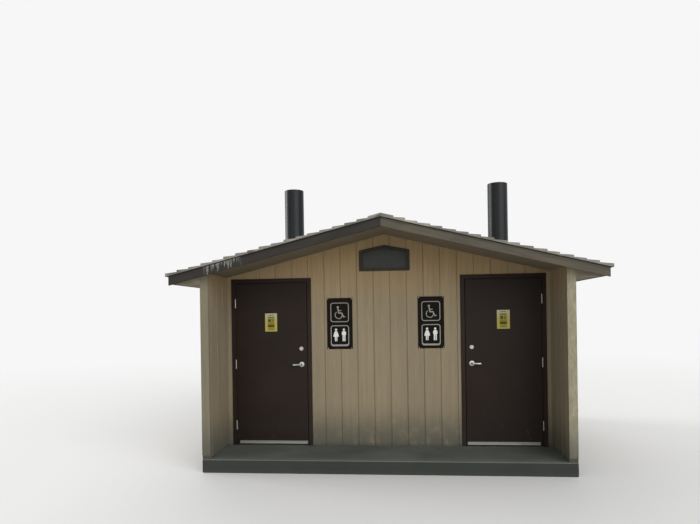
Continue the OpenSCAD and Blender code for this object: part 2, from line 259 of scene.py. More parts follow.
def plate(outline, front, back):
    """A flat outline of (x, z) points given a thickness from y = front to y = back."""
    x, z = outline.T
    return points(x, [[front], [back]], z)


def band(inner, outer, front, back):
    """A closed band between two outlines of (x, z): its four edges form each section."""
    edges = np.stack([outer, inner, inner, outer], 1)
    return points(edges[..., 0], [front, front, back, back], edges[..., 1])


def rounded_box(x, z, width, height, radius, count=8):
    """Outline of a box with round corners: four quarter circles, one after another."""
    reach = np.array([width, height]) / 2 - radius
    corners = [x, z] + reach * [[1, 1], [-1, 1], [-1, -1], [1, -1]]
    angle = np.linspace(0, math.pi / 2, count) + np.arange(4)[:, None] * math.pi / 2
    circle = radius * np.stack([np.cos(angle), np.sin(angle)], -1)
    return (corners[:, None] + circle).reshape(-1, 2)


def disc(x, z, radius, count=28):
    """Outline of a circle."""
    cos, sin = ring(count)
    return np.stack([x + radius * cos, z + radius * sin], -1)


def stroke(line, width):
    """Outline of a line of constant width through points, with round ends.

    Each side is the line moved by half the width along its mean normal; a half
    circle closes each end.
    """
    line = np.asarray(line, float)
    heading = unit(np.gradient(line, axis=0)) * width / 2
    normal = np.stack([-heading[:, 1], heading[:, 0]], -1)
    turn = np.linspace(0, math.pi, 9)[1:-1, None]
    end = line[-1] + normal[-1] * np.cos(turn) + heading[-1] * np.sin(turn)
    start = line[0] - normal[0] * np.cos(turn) - heading[0] * np.sin(turn)
    return np.concatenate([line + normal, end, (line - normal)[::-1], start])


# Finishes


class Value:
    """A number or colour from a node; arithmetic on it adds Math nodes."""

    def __init__(self, tree, socket):
        self.tree, self.socket = tree, socket

    def math(self, operation, *values):
        """A Math node's result."""
        inputs = dict(enumerate(values))
        return self.tree.node("ShaderNodeMath", {"operation": operation}, inputs)

    def __add__(self, other):
        return self.math("ADD", self, other)

    def __mul__(self, other):
        return self.math("MULTIPLY", self, other)

    def __sub__(self, other):
        return self.math("SUBTRACT", self, other)

    def __rsub__(self, other):
        return self.math("SUBTRACT", other, self)

    def __pow__(self, other):
        return self.math("POWER", self, other)

    __radd__, __rmul__ = __add__, __mul__

    def size(self):
        """Its absolute value."""
        return self.math("ABSOLUTE", self)

    def least(self, other):
        """The smaller of the two."""
        return self.math("MINIMUM", self, other)

    def most(self, other):
        """The larger of the two."""
        return self.math("MAXIMUM", self, other)

    def fraction(self):
        """What is left after the whole part is taken away."""
        return self.math("FRACT", self)

    def between(self, start, end):
        """0 at start, 1 at end, smooth between them."""
        return self.tree.node("ShaderNodeMapRange", {"interpolation_type": "SMOOTHSTEP"},
                              {"Value": self, "From Min": start, "From Max": end})


class Tree:
    """The nodes of a material or of the world, made by one method."""

    def __init__(self, owner):
        owner.use_nodes = True
        self.nodes, self.links = owner.node_tree.nodes, owner.node_tree.links

    def node(self, kind, settings=None, inputs=None, output=0):
        """Adds a node: settings first, then its sockets' values or links."""
        made = self.nodes.new(kind)
        for key, value in (settings or {}).items():
            setattr(made, key, value)
        for key, value in (inputs or {}).items():
            self.feed(made.inputs[key], value)
        return Value(self, made.outputs[output])

    def feed(self, socket, value):
        """Links a socket to a node's value, or sets it to a plain number or colour."""
        if isinstance(value, Value):
            self.links.new(value.socket, socket)
        elif socket.type == "RGBA" and len(value) == 3:
            socket.default_value = (*value, 1.0)
        else:
            socket.default_value = value

    def background_rays(self):
        """1 for the rays that show the background, straight, mirrored or through a pane."""
        camera, glossy, through = (self.node("ShaderNodeLightPath", output=f"Is {kind} Ray")
                                   for kind in ("Camera", "Glossy", "Transmission"))
        return camera.most(glossy).most(through)


class Finish(Tree):
    """A material around its shader."""

    def __init__(self, name):
        self.material = bpy.data.materials.new(name)
        super().__init__(self.material)
        self.shader = self.nodes["Principled BSDF"]

    def place(self, cells=1, turn=(0, 0, 0), shift=(0, 0, 0)):
        """Object coordinates, shifted, turned and multiplied by cells."""
        objects = self.node("ShaderNodeTexCoord", output="Object")
        moved = self.node("ShaderNodeMapping", {"vector_type": "TEXTURE"},
                          {"Vector": objects, "Rotation": turn, "Location": shift})
        scale = tuple(np.broadcast_to(cells, 3).astype(float).tolist())
        return self.node("ShaderNodeMapping", None, {"Vector": moved, "Scale": scale})

    def along(self, axis):
        """One of the object coordinates."""
        objects = self.node("ShaderNodeTexCoord", output="Object")
        return self.node("ShaderNodeSeparateXYZ", None, {0: objects}, axis)

    def noise(self, cells, detail, rough, bend=0.0, turn=(0, 0, 0), shift=(0, 0, 0)):
        """Cloudy noise from 0 to 1; cells is its frequency, or one for each axis."""
        return self.node("ShaderNodeTexNoise", None, {
            "Vector": self.place(cells, turn, shift), "Scale": 1.0, "Detail": detail,
            "Roughness": rough, "Distortion": bend}, "Fac")

    def pebbles(self, scale):
        """Distance from the nearest of evenly scattered points."""
        return self.node("ShaderNodeTexVoronoi", None,
                         {"Vector": self.place(), "Scale": scale}, "Distance")

    def attribute(self, name):
        """A piece's own point values."""
        return self.node("ShaderNodeAttribute", {"attribute_name": name}, None, "Fac")

    def blend(self, amount, first, second, kind="MIX"):
        """Colour mixed from first to second."""
        return self.node("ShaderNodeMix", {"data_type": "RGBA", "blend_type": kind},
                         {0: amount, 6: first, 7: second}, 2)

    def done(self, colour, rough, height=None, depth=0.001, strength=1.0, **fixed):
        """Feeds the shader, with a bump of this depth, and returns the material."""
        values = {"Base Color": colour, "Roughness": rough}
        if height is not None:
            values["Normal"] = self.node("ShaderNodeBump", None, {
                "Strength": strength, "Distance": depth, "Height": height})
        values.update((key.replace("_", " "), value) for key, value in fixed.items())
        for key, value in values.items():
            self.feed(self.shader.inputs[key], value)
        return self.material


def shade(colour, factor):
    """A colour made lighter or darker."""
    return tuple(min(1.0, max(0.0, part * factor)) for part in colour)


# Heights over the floor: dust splashed on the walls with painted shade, grime and
# painted shade at their foot, the start and end of the painted light under the roof,
# and dust on the doors. Drips on the left rake are (middle, half length) along x.

SPLASH_AND_SHADE, GRIME_AND_SHADE = 0.58, 0.05
EAVE_LIGHT = (1.55, 2.4)
DOOR_DUST = (0.1, 0.6)
DRIPS = ((-1.76, 0.24),)


def rough_sawn_paint(name, colour, cells, soiled=True, bleached_and_lit=0.0, lit_under_eaves=False):
    """Flat paint on rough-sawn wood: fine saw fibres, faint boards, dust and painted shade near
    the floor.

    bleached_and_lit is the share of the paint turned to pale patches: weathering and painted
    light.
    Where lit_under_eaves is set, painted light brightens and warms the paint up under the roof.
    """
    f = Finish(name)
    cells = np.array(cells)
    fibres = f.noise(cells, 6, 0.62, 0.15)
    broad = f.noise(cells * 0.16, 3, 0.5, shift=(3.1, 1.7, 0.4))
    mottle = f.noise((1.3, 1.3, 0.9), 4, 0.6)
    pores = f.noise(cells * 2.6, 2, 0.5)
    streaks = (fibres * 0.6 + broad * 0.4).between(0.34, 0.68)
    paint = f.blend(streaks, shade(colour, 0.84), shade(colour, 1.1))
    paint = f.blend(mottle.between(0.35, 0.75) * 0.35, paint, shade(colour, 0.8))
    # Pale patches: partly weathering, partly painted light on a lit wall end.
    if bleached_and_lit:
        patches = f.noise((24, 24, 9), 6, 0.75, 0.5)
        paint = f.blend(patches.between(0.42, 0.62) * bleached_and_lit, paint, (0.33, 0.32, 0.235))
    if soiled:
        # Painted shade with dust: the wall grows darker and greyer towards the floor.
        splash_and_shade = 1 - f.along(2).between(FLOOR, FLOOR + SPLASH_AND_SHADE)
        dust_and_shade = (splash_and_shade * f.noise((9, 9, 5), 6, 0.7).between(0.1, 0.55)).least(1.0)
        paint = f.blend(dust_and_shade * 0.85, paint, (0.068, 0.07, 0.056))
        # Painted shade with grime: a dark band at the wall's foot.
        foot = 1 - f.along(2).between(FLOOR, FLOOR + GRIME_AND_SHADE)
        paint = f.blend(foot * 0.6, paint, (0.05, 0.046, 0.038))
    # Painted light: the upper wall is made brighter and warmer under the roof.
    if lit_under_eaves:
        kept = f.along(2).between(FLOOR + EAVE_LIGHT[0], FLOOR + EAVE_LIGHT[1])
        paint = f.blend(kept, paint, (1.37, 1.18, 0.92), "MULTIPLY")
    paint = f.blend(f.attribute("soil") * 0.3, paint, shade(colour, 0.4))
    return f.done(paint, 0.78 + fibres * 0.14, fibres * 0.7 + pores * 0.3, 0.0022, 0.75,
                  Specular_IOR_Level=0.28)


def split_shake(name, colour):
    """Weathered split cedar: each shake its own tone, fibres down the slope, moss tint."""
    f = Finish(name)
    tint = f.attribute("tint")
    fibres = f.noise((5, 150, 5), 6, 0.62, 0.3)
    cracks = f.noise((2.2, 58, 2.2), 3, 0.5, 0.2, shift=(0.3, 0.9, 0))
    patches = f.noise((2.4, 3.1, 2.4), 5, 0.62)
    wood = f.blend(tint, shade(colour, 0.62), shade(colour, 1.32))
    warm = (tint * 7.31 + 0.17).fraction()
    wood = f.blend(warm.between(0.55, 1.0) * 0.4, wood, (0.225, 0.18, 0.132))
    wood = f.blend(fibres.between(0.36, 0.66) * 0.55, wood, shade(colour, 0.5))
    wood = f.blend(cracks.between(0.6, 0.72) * 0.8, wood, shade(colour, 0.18))
    wood = f.blend(patches.between(0.56, 0.74) * 0.35, wood, (0.075, 0.085, 0.045))
    return f.done(wood, 0.86 + fibres * 0.1, fibres * 0.6 - cracks.between(0.55, 0.75) * 0.6,
                  0.004, 0.9, Specular_IOR_Level=0.2)


def trim_paint(name, colour, cells, turn=(0, 0, 0), worn=()):
    """Dark brown exterior paint on planed boards, chalked in patches.

    worn lists stretches along x, (middle, half length), where pale drips run down
    from the front roof edge. A drip's length is noise of x alone, and the distance
    from the edge is the roof's height there less z.
    """
    f = Finish(name)
    grain = f.noise(cells, 5, 0.6, 0.2, turn)
    chalk = f.noise(2.3, 5, 0.65)
    paint = f.blend(grain.between(0.35, 0.68), shade(colour, 0.78), shade(colour, 1.18))
    paint = f.blend(chalk.between(0.5, 0.78) * 0.35, paint, shade(colour, 1.75))
    for middle, half in worn:
        edge = PANEL_PEAK - f.along(0).size() * PITCH - f.along(2)
        reach = (f.noise((34, 0, 0), 2, 0.5) - 0.42) * 0.62
        flecks = f.noise((46, 9, 30), 4, 0.7).between(0.3, 0.62)
        inside = 1 - ((f.along(0) - middle) * (1 / half)).size().between(0.6, 1.0)
        drip = inside * (reach - edge).between(-0.004, 0.03) * flecks
        drip = drip * f.along(1).between(0.1, -0.1)
        paint = f.blend(drip * 0.8, paint, (0.25, 0.25, 0.22))
    return f.done(paint, 0.58 + chalk * 0.22, grain, 0.0012, 0.6, Specular_IOR_Level=0.25)


def roofing_felt(name, colour):
    """Black felt with a gritty face, greyed where the weather reaches it."""
    f = Finish(name)
    grit = f.noise(400, 3, 0.7)
    faded = f.noise(6, 4, 0.6)
    face = f.blend(faded.between(0.4, 0.7) * 0.6, colour, shade(colour, 2.2))
    return f.done(face, 0.85 + grit * 0.1, grit, 0.0006, 0.6)


def door_paint(name, colour):
    """Baked brown paint on steel: slight orange peel, hand and boot scuffs, dust at the foot."""
    f = Finish(name)
    peel = f.noise(420, 2, 0.5)
    cloud = f.noise((1.4, 1.4, 2.0), 4, 0.55)
    wipe = f.noise((26, 26, 5), 6, 0.7, 1.2, (0, 0.5, 0))
    foot = 1 - f.along(2).between(FLOOR + DOOR_DUST[0], FLOOR + DOOR_DUST[1])
    paint = f.blend(cloud.between(0.3, 0.7), shade(colour, 0.86), shade(colour, 1.18))
    paint = f.blend(foot * cloud.between(0.25, 0.8) * 0.3, paint, (0.019, 0.019, 0.016))
    scuff = (wipe.between(0.6, 0.72) * (foot * 0.7 + 0.06)).least(1.0)
    paint = f.blend(scuff * 0.5, paint, (0.11, 0.1, 0.088))
    return f.done(paint, 0.42 + cloud * 0.2 + scuff * 0.3, peel, 0.0004, 0.35,
                  Specular_IOR_Level=0.13)


def broomed_concrete(name, colour):
    """Concrete with broom lines, air holes, damp stains, painted shade on its sides and painted
    light on the front lip.
    """
    f = Finish(name)
    broom = f.noise((1.6, 190, 3), 3, 0.5, 0.1)
    sand = f.noise(260, 4, 0.7)
    cloud = f.noise(1.1, 6, 0.62)
    damp = f.noise((2.1, 2.1, 4.0), 5, 0.6, shift=(2, 5, 1))
    pit = 1 - f.pebbles(75.0).between(0.05, 0.16)
    lip = 1 - f.along(1).between(-REAR, -REAR + 0.18)
    sides = 1 - f.along(2).between(FLOOR - 0.012, FLOOR - 0.003)
    foot = 1 - f.along(2).between(0.0, 0.06)
    stone = f.blend(cloud.between(0.3, 0.72), shade(colour, 0.74), shade(colour, 1.16))
    stone = f.blend(damp.between(0.5, 0.72) * 0.5, stone, shade(colour, 0.5))
    stone = f.blend(sand.between(0.35, 0.7) * 0.3, stone, shade(colour, 0.62))
    # Painted light: lighter along the slab's front lip.
    stone = f.blend(lip * 0.5, stone, shade(colour, 1.35))
    # Painted shade: the slab's sides below its top are made dark.
    stone = f.blend(sides * 0.8, stone, shade(colour, 0.1))
    stone = f.blend(foot * 0.4, stone, (0.06, 0.055, 0.043))
    stone = f.blend(pit * 0.5, stone, shade(colour, 0.35))
    return f.done(stone, 0.82 + sand * 0.12, broom * 0.5 + sand * 0.4 - pit * 0.5, 0.0022, 0.8,
                  Specular_IOR_Level=0.2)


def brushed_steel(name, colour):
    """Satin steel with a fine brush, hazed by handling."""
    f = Finish(name)
    brush = f.noise((60, 60, 900), 3, 0.6)
    haze = f.noise(16, 4, 0.6)
    metal = f.blend(haze.between(0.35, 0.75) * 0.5, colour, shade(colour, 0.66))
    rough = 0.36 + brush * 0.12 + haze * 0.14
    return f.done(metal, rough, brush, 0.0001, 0.35, Metallic=1.0)


def mill_aluminium(name, colour):
    """Walked-on aluminium: lines along its length, grit in the flutes."""
    f = Finish(name)
    lines = f.noise((2.5, 700, 700), 3, 0.6)
    dirt = f.noise((14, 40, 40), 5, 0.7)
    grime = (f.attribute("soil") * 0.8 + dirt.between(0.5, 0.75) * 0.4).least(1.0)
    metal = f.blend(grime, colour, (0.06, 0.05, 0.04))
    return f.done(metal, 0.34 + lines * 0.16 + grime * 0.4, lines, 0.0003, 0.5,
                  Metallic=1 - grime * 0.8)


def black_pipe(name, colour, roughness=0.24):
    """Dark painted metal, dusted and rain-streaked."""
    f = Finish(name)
    streak = f.noise((22, 22, 1.4), 5, 0.6)
    dust = f.noise((5, 5, 3), 6, 0.65)
    fine = f.noise(180, 3, 0.6)
    skin = f.blend(streak.between(0.45, 0.75) * 0.5, colour, shade(colour, 2.6))
    skin = f.blend(dust.between(0.55, 0.8) * 0.2, skin, (0.03, 0.036, 0.04))
    skin = f.blend(f.attribute("soil") * 0.6, skin, (0.1, 0.09, 0.075))
    return f.done(skin, roughness + dust * 0.18, fine, 0.0003, 0.3, Specular_IOR_Level=0.16)


def obscured_pane(name, colour):
    """Translucent grey sheet with a fine pebbled face."""
    f = Finish(name)
    film = f.noise((4, 4, 3), 5, 0.6)
    sheet = f.blend(film.between(0.35, 0.75), shade(colour, 0.85), shade(colour, 1.25))
    return f.done(sheet, 0.3 + film * 0.25, f.pebbles(240.0), 0.0006, 0.4,
                  Transmission_Weight=0.12, Specular_IOR_Level=0.25)


def engraved_board(name, colour):
    """Semi-matt plastic sheet with fine scratches and a dusty bloom."""
    f = Finish(name)
    bloom = f.noise((7, 7, 5), 5, 0.65)
    scratch = f.noise((30, 30, 300), 2, 0.4, turn=(0, 0.9, 0))
    face = f.blend(bloom.between(0.42, 0.75) * 0.6, colour, shade(colour, 1.9))
    return f.done(face, 0.42 + bloom * 0.25, scratch.between(0.6, 0.75), 0.0002, 0.3,
                  Specular_IOR_Level=0.05)


def worn_film(name, colour, worn, faded=None):
    """Bright film, yellowed and thinned in patches.

    faded is the paler colour that a notice's film has reached at its top.
    """
    f = Finish(name)
    fade = f.noise((18, 18, 14), 5, 0.65)
    speck = f.noise(300, 3, 0.6)
    film = f.blend(fade.between(0.4, 0.78) * 0.55, colour, worn)
    if faded:
        foot, head = low("left_notice")[2], high("left_notice")[2]
        film = f.blend(f.along(2).between(0.6 * foot + 0.4 * head, head), film, faded)
    film = f.blend(speck.between(0.62, 0.72) * 0.4, film, shade(worn, 0.6))
    return f.done(film, 0.4 + fade * 0.2, fade, 0.0002, 0.3, Specular_IOR_Level=0.15)


FINISHES = {}


def finish(name):
    """A finish made earlier by the finishes operator."""
    if name not in FINISHES:
        raise RuntimeError(f"the finish {name} has not been made")
    return FINISHES[name]


# Settings


def number(name, description, default, **options):
    """A setting that is a plain number, never below 0."""
    return bpy.props.FloatProperty(
        name=name, description=description, default=default, min=0.0, **options)


def length(name, description, default):
    """A length setting in metres."""
    return number(name, description, default, unit="LENGTH", subtype="DISTANCE", precision=4)


def tone(name, description, default):
    """A colour setting."""
    return bpy.props.FloatVectorProperty(
        name=name, description=description, default=default, size=3,
        min=0.0, max=1.0, subtype="COLOR")


class SidingSettings(bpy.types.PropertyGroup):
    spacing: length("Groove spacing", "Distance between grooves", 0.2032)
    offset: length("First groove", "Groove nearest the centre line", 0.0635)
    side_offset: length("First side groove", "From a side wall's porch end", 0.1)
    width: length("Groove width", "Width of a groove", 0.0095)
    depth: length("Groove depth", "Depth of a groove", 0.006)
    end_board: length("End board", "Thickness of the boards on the wall ends", 0.012)
    end_lift: length("End board lift", "Height of their feet over the floor", 0.042)
    colour: tone("Paint", "Wall paint", (0.228, 0.186, 0.120))
    end_colour: tone("Wall ends", "Paint on the wall ends and eaves", (0.212, 0.186, 0.126))


class RoofSettings(bpy.types.PropertyGroup):
    courses: bpy.props.IntProperty(
        name="Courses", description="Shake courses on each slope", default=18, min=4, max=30)
    narrow: length("Narrowest shake", "Least width of a shake", 0.085)
    wide: length("Widest shake", "Greatest width of a shake", 0.215)
    joint: length("Joint", "Gap between shakes", 0.005)
    lap: length("Lap", "How far a shake runs on under the course above", 0.012)
    felt: length("Felt", "Thickness of the felt under the shakes", 0.003)
    felt_margin: length("Felt margin", "From the shakes' edges in to the felt's", 0.012)
    stack_gap: length("Stack gap", "Gap between the shakes and a stack", 0.006)
    cap_board: length("Cap board", "Showing length of a ridge board", 0.16)
    colour: tone("Shakes", "Weathered wood", (0.235, 0.222, 0.198))
    trim: tone("Trim", "Rake and fascia paint", (0.042, 0.036, 0.030))


class HardwareSettings(bpy.types.PropertyGroup):
    hinge: length("Hinge height", "Height of one hinge", 0.114)
    sweep: length("Sweep height", "Height of the strip at a leaf's foot", 0.038)
    sweep_depth: length("Sweep depth", "How far the strip stands out", 0.006)
    sweep_inset: length("Sweep inset", "Gap between the strip and the lock edge", 0.008)
    sweep_hinge_inset: length("Sweep hinge inset", "Gap on the hinge side", 0.034)
    lever_reach: length("Lever reach", "From a lever's axis to its tip", 0.108)
    lever_neck: length("Lever neck", "From the door to a lever's bend", 0.034)
    lever_bend: length("Lever bend", "Radius of a lever's bend", 0.016)
    lever_radius: length("Lever radius", "Half the thickness of a lever's neck", 0.0098)
    stack_wall: length("Stack wall", "Wall of a vent stack", 0.008)
    door: tone("Doors", "Door paint", (0.0136, 0.0080, 0.0056))
    steel: tone("Steel", "Locks and hinges", (0.44, 0.435, 0.42))
    pipe: tone("Pipe", "Vent stacks", (0.0048, 0.0064, 0.0072))
    pane: tone("Pane", "Gable windows", (0.035, 0.038, 0.032))
    concrete: tone("Concrete", "Floor slab", (0.105, 0.117, 0.103))


class SignSettings(bpy.types.PropertyGroup):
    width: length("Border width", "Outside width of a sign's borders", 0.228)
    corner: length("Border corner", "Outside radius of their corners", 0.032)
    stroke: length("Border", "Width of a sign's white border", 0.0095)
    relief: length("Relief", "How far the figures stand out", 0.0012)
    board: tone("Board", "Sign board", (0.006, 0.0044, 0.003))
    figure: tone("Figures", "Standing figures", (0.6, 0.6, 0.56))
    faded: tone("Faded figures", "Borders and the seated figure", (0.25, 0.245, 0.22))
    notice: tone("Notice", "Door notice", (0.35, 0.3, 0.085))


class StageSettings(bpy.types.PropertyGroup):
    background: number("Background", "Brightness behind the building", 0.93,
                       max=1.0, subtype="FACTOR")
    ambient: number("Ambient", "Strength of the light from all sides", 0.62)
    key: number("Key", "Strength of the soft key light", 1.9)
    lens: number("Lens", "Focal length on a 36 mm sensor", 29.388, subtype="DISTANCE_CAMERA")


# Walls

LIP = 0.1  # of a groove's width


def groove_stations(start, end, grooves, s, corner):
    """Stations along a wall and the depth cut there.

    Each groove gives four stations: its two lips at depth 0 and its two floors
    at full depth, with the lip's share of its width between them. The corner is
    one more station.
    """
    half = s.width / 2
    lip = half + s.width * LIP
    kept = grooves[(grooves > start + s.width) & (grooves < end - s.width)]
    plain = [start, end] + [corner] * (start < corner < end)
    stations = np.concatenate([plain, (kept[:, None] + [-lip, -half, half, lip]).ravel()])
    cut = np.concatenate([0.0 * np.array(plain), np.tile([0.0, s.depth, s.depth, 0.0], len(kept))])
    order = np.argsort(stations)
    return stations[order], cut[order]


def wall_top(x):
    """Height of a wall's top: the peak less the pitch times the distance from the middle."""
    return WALL_PEAK - PITCH * np.abs(x)


def window_line(x):
    """Height of the window opening's top: peak less a straight slope to the shoulders."""
    return WINDOW_HIGH[2] - SHOULDER * np.abs(x) / WINDOW_HIGH[0]


def cross_wall(s, start, end, face, back, bottom, opening):
    """Grid and soil of each part of a wall across the building.

    A section is the wall's outline at one place along x, from its foot to its
    top. A wall with a window is four parts: two beside it, one under, one over.
    """
    outward = math.copysign(1, face - back)
    grooves = s.offset + np.arange(-12, 12) * s.spacing
    half, sill = WINDOW_HIGH[0], WINDOW_LOW[2]
    spans = [(start, end, bottom, wall_top)]
    if opening:
        spans = [(start, -half, bottom, wall_top), (-half, half, bottom, sill),
                 (-half, half, window_line, wall_top), (half, end, bottom, wall_top)]
    for a, b, *edges in spans:
        x, cut = groove_stations(a, b, grooves, s, 0.0)
        foot, top = (edge(x) if callable(edge) else edge for edge in edges)
        front = face - outward * cut
        grid = sections((x, front, foot), (x, front, top), (x, back, top), (x, back, foot))
        yield grid, np.stack([cut, cut, 0 * cut, 0 * cut], 1) / s.depth


def side_wall(s, side):
    """Grid and soil of a side wall, grooved outside and on both faces of the porch part.

    Each section is a slice of the wall at one place along y, with its top on
    the roof's slope.
    """
    grooves = -REAR + s.side_offset + np.arange(20) * s.spacing
    y, cut = groove_stations(-REAR + s.end_board, REAR, grooves, s, FRONT)
    inner_cut = np.where(y < FRONT - s.width, cut, 0.0)
    outer, inner = WALL_OUTER - cut, WALL_INNER + inner_cut
    grid = sections((side * outer, y, FLOOR), (side * outer, y, wall_top(outer)),
                    (side * inner, y, wall_top(inner)), (side * inner, y, FLOOR))
    return grid, np.stack([cut, cut, inner_cut, inner_cut], 1) / s.depth


def end_board(s, side):
    """Board over a wall's porch end, its foot held clear of the floor.

    Its two faces are sections of four corners whose upper two follow the roof.
    """
    foot = FLOOR + s.end_lift
    x = np.array([WALL_OUTER, WALL_OUTER, WALL_INNER, WALL_INNER])
    z = [foot, wall_top(WALL_OUTER), wall_top(WALL_INNER), foot]
    return points(side * x, [[-REAR], [-REAR + s.end_board - GAP]], z)


class OUTHOUSE_OT_finishes(bpy.types.Operator):
    """Makes the paints, woods, metals and films"""

    bl_idname = "outhouse.finishes"
    bl_label = "Finishes"

    def execute(self, context):
        siding, roof = context.scene.outhouse_siding, context.scene.outhouse_roof
        hardware, signs = context.scene.outhouse_hardware, context.scene.outhouse_signs
        lean = math.atan(PITCH)
        paint, ends, trim = tuple(siding.colour), tuple(siding.end_colour), tuple(roof.trim)
        door, pipe = tuple(hardware.door), tuple(hardware.pipe)
        upright, across, along_wall = (110, 110, 3.2), (3, 90, 90), (90, 3, 90)
        for name, make, material, *values in (
            # Siding: dust and painted shade near the floor, painted light under the roof.
            ("siding", rough_sawn_paint, "siding_paint", paint, upright, True, 0.0, True),
            # Wall ends: the left is a darker copy as painted shade, the right a lighter copy with
            # pale patches as painted light.
            ("left_wall_end", rough_sawn_paint, "left_end_paint", shade(ends, 0.77), upright),
            ("right_wall_end", rough_sawn_paint, "right_end_paint", shade(ends, 1.1), upright,
             True, 0.5),
            # Dark sill colour that also paints the shade in the gap under the end boards.
            ("sill", rough_sawn_paint, "sill_wood", (0.03, 0.028, 0.024), (60, 3, 60)),
            ("soffit", rough_sawn_paint, "soffit_paint", ends, along_wall, False),
            # The ceiling is the wall paint darkened as painted shade under the roof.
            ("ceiling", rough_sawn_paint, "ceiling_paint", shade(paint, 0.76), across, False),
            ("shakes", split_shake, "weathered_shake", tuple(roof.colour)),
            ("felt", roofing_felt, "roofing_felt", (0.016, 0.015, 0.014)),
            # Rakes: the left is darkened as painted shade, the right lightened as painted light
            # and weathering.
            ("rake_left", trim_paint, "rake_left_paint", shade(trim, 0.5), across,
             (0, -lean, 0), DRIPS),
            ("rake_right", trim_paint, "rake_right_paint", (0.074, 0.063, 0.0455), across,
             (0, lean, 0)),
            ("fascia", trim_paint, "fascia_paint", trim, along_wall),
            ("window_trim", trim_paint, "window_frame_paint", (0.032, 0.0255, 0.0175), 40),
            ("door", door_paint, "door_paint", door),
            ("door_frame", door_paint, "door_frame_paint", shade(door, 1.25)),
            ("concrete", broomed_concrete, "broomed_concrete", tuple(hardware.concrete)),
            ("steel", brushed_steel, "brushed_satin_steel", tuple(hardware.steel)),
            ("aluminium", mill_aluminium, "mill_aluminium", (0.36, 0.36, 0.345)),
            # Dark saddles: a dark metal colour with painted shade under the door sweeps.
            ("bronze", mill_aluminium, "dark_threshold", (0.085, 0.08, 0.072)),
            ("pipe", black_pipe, "dusty_black_pipe", pipe),
            ("flashing", black_pipe, "flashing_paint", pipe, 0.55),
            ("pane", obscured_pane, "obscured_pane", tuple(hardware.pane)),
            ("board", engraved_board, "sign_board_plastic", tuple(signs.board)),
            ("figure", worn_film, "sign_film", tuple(signs.figure), (0.42, 0.41, 0.36)),
            ("faded_figure", worn_film, "faded_sign_film", tuple(signs.faded),
             (0.18, 0.175, 0.15)),
            ("notice", worn_film, "notice_film", tuple(signs.notice), (0.29, 0.25, 0.08),
             (0.37, 0.35, 0.21)),
            ("notice_panel", worn_film, "notice_panel_film", (0.25, 0.215, 0.02),
             (0.2, 0.17, 0.02), (0.23, 0.22, 0.1)),
            ("notice_mark", worn_film, "notice_marks", (0.055, 0.045, 0.003),
             (0.08, 0.066, 0.008)),
        ):
            FINISHES[name] = make(material, *values)
        return {"FINISHED"}


class OUTHOUSE_OT_siding(bpy.types.Operator):
    """Builds the grooved walls, split round the doorways and the gable windows"""

    bl_idname = "outhouse.siding"
    bl_label = "Siding"

    def execute(self, context):
        s = context.scene.outhouse_siding
        front, rear = (FRONT, FRONT_INNER), (REAR, REAR_INNER)
        over = low("front_wall_over_right_door")[2]
        for node, start, end, faces, bottom, opening in (
            ("front_wall_centre", -DOORWAY_EDGE, DOORWAY_EDGE, front, FLOOR, True),
            ("front_wall_left_edge", -WALL_INNER, -FRAME_EDGE, front, FLOOR, False),
            ("front_wall_right_edge", FRAME_EDGE, WALL_INNER, front, FLOOR, False),
            ("front_wall_over_left_door", -FRAME_EDGE, -DOORWAY_EDGE, front, over, False),
            ("front_wall_over_right_door", DOORWAY_EDGE, FRAME_EDGE, front, over, False),
            ("rear_wall", -WALL_INNER, WALL_INNER, rear, FLOOR, True),
        ):
            shape = Shape()
            for grid, soil in cross_wall(s, start, end, *faces, bottom, opening):
                shape.add(grid, soil=soil)
            shape.build(f"{node}_siding", "siding", "siding", replaces=node)
        for name, side in SIDES:
            grid, soil = side_wall(s, side)
            piece = Shape().add(grid, soil=soil).build(
                f"{name}_side_siding", "siding", "siding", replaces=f"{name}_side_wall")
            # The wall's porch end behind the end board: a dark sill with painted shade in the gap
            # under the board.
            piece.data.materials.append(finish("sill"))
            ends = [face.normal.y < -0.99 for face in piece.data.polygons]
            piece.data.polygons.foreach_set("material_index", np.array(ends, np.int32))
            Shape().add(end_board(s, side)).build(
                f"{name}_end_board", f"{name}_wall_end", "siding", bevel=0.002)
        return {"FINISHED"}


# Roof. ACROSS and DOWN are the shares of a shake's width and length at its
# points, and UPPER marks those of its upper face. A joint is drawn between two
# shares of its set width. Then come the most by which single shakes differ: the
# butt's place (also at the eave) and its nicks, the turn, the thickness and the
# split ridges; and how far every butt is worn down.

ACROSS = np.array([0.0, 1.0, 1.0, 0.72, 0.46, 0.22, 0.0])
UPPER = np.arange(7) > 1
DOWN = np.array([0.0, 0.45, 0.9, 1.0])
JOINT_SHARES = (0.3, 1.4)
RAGGED, RAGGED_EAVE, NICKS = 0.012, 0.004, 0.003
SKEW, UNEVEN, RIDGES, WORN_BUTT = 0.002, 0.004, 0.0018, 0.0015
FELT_CLEARANCE = 0.0006
SHAKE_SEED, SHAKE_TINT_SEED = 11, 21


def shake_spans(rng, start, end, s):
    """Both edges of neighbouring shakes, drawn at random and fitted to the span."""
    edges = np.append(0.0, np.cumsum(rng.uniform(s.narrow, s.wide, 64)))
    count = max(1, int(np.searchsorted(edges, end - start)))
    edges = start + edges[: count + 1] * (end - start) / edges[count]
    return edges[:-1], edges[1:]


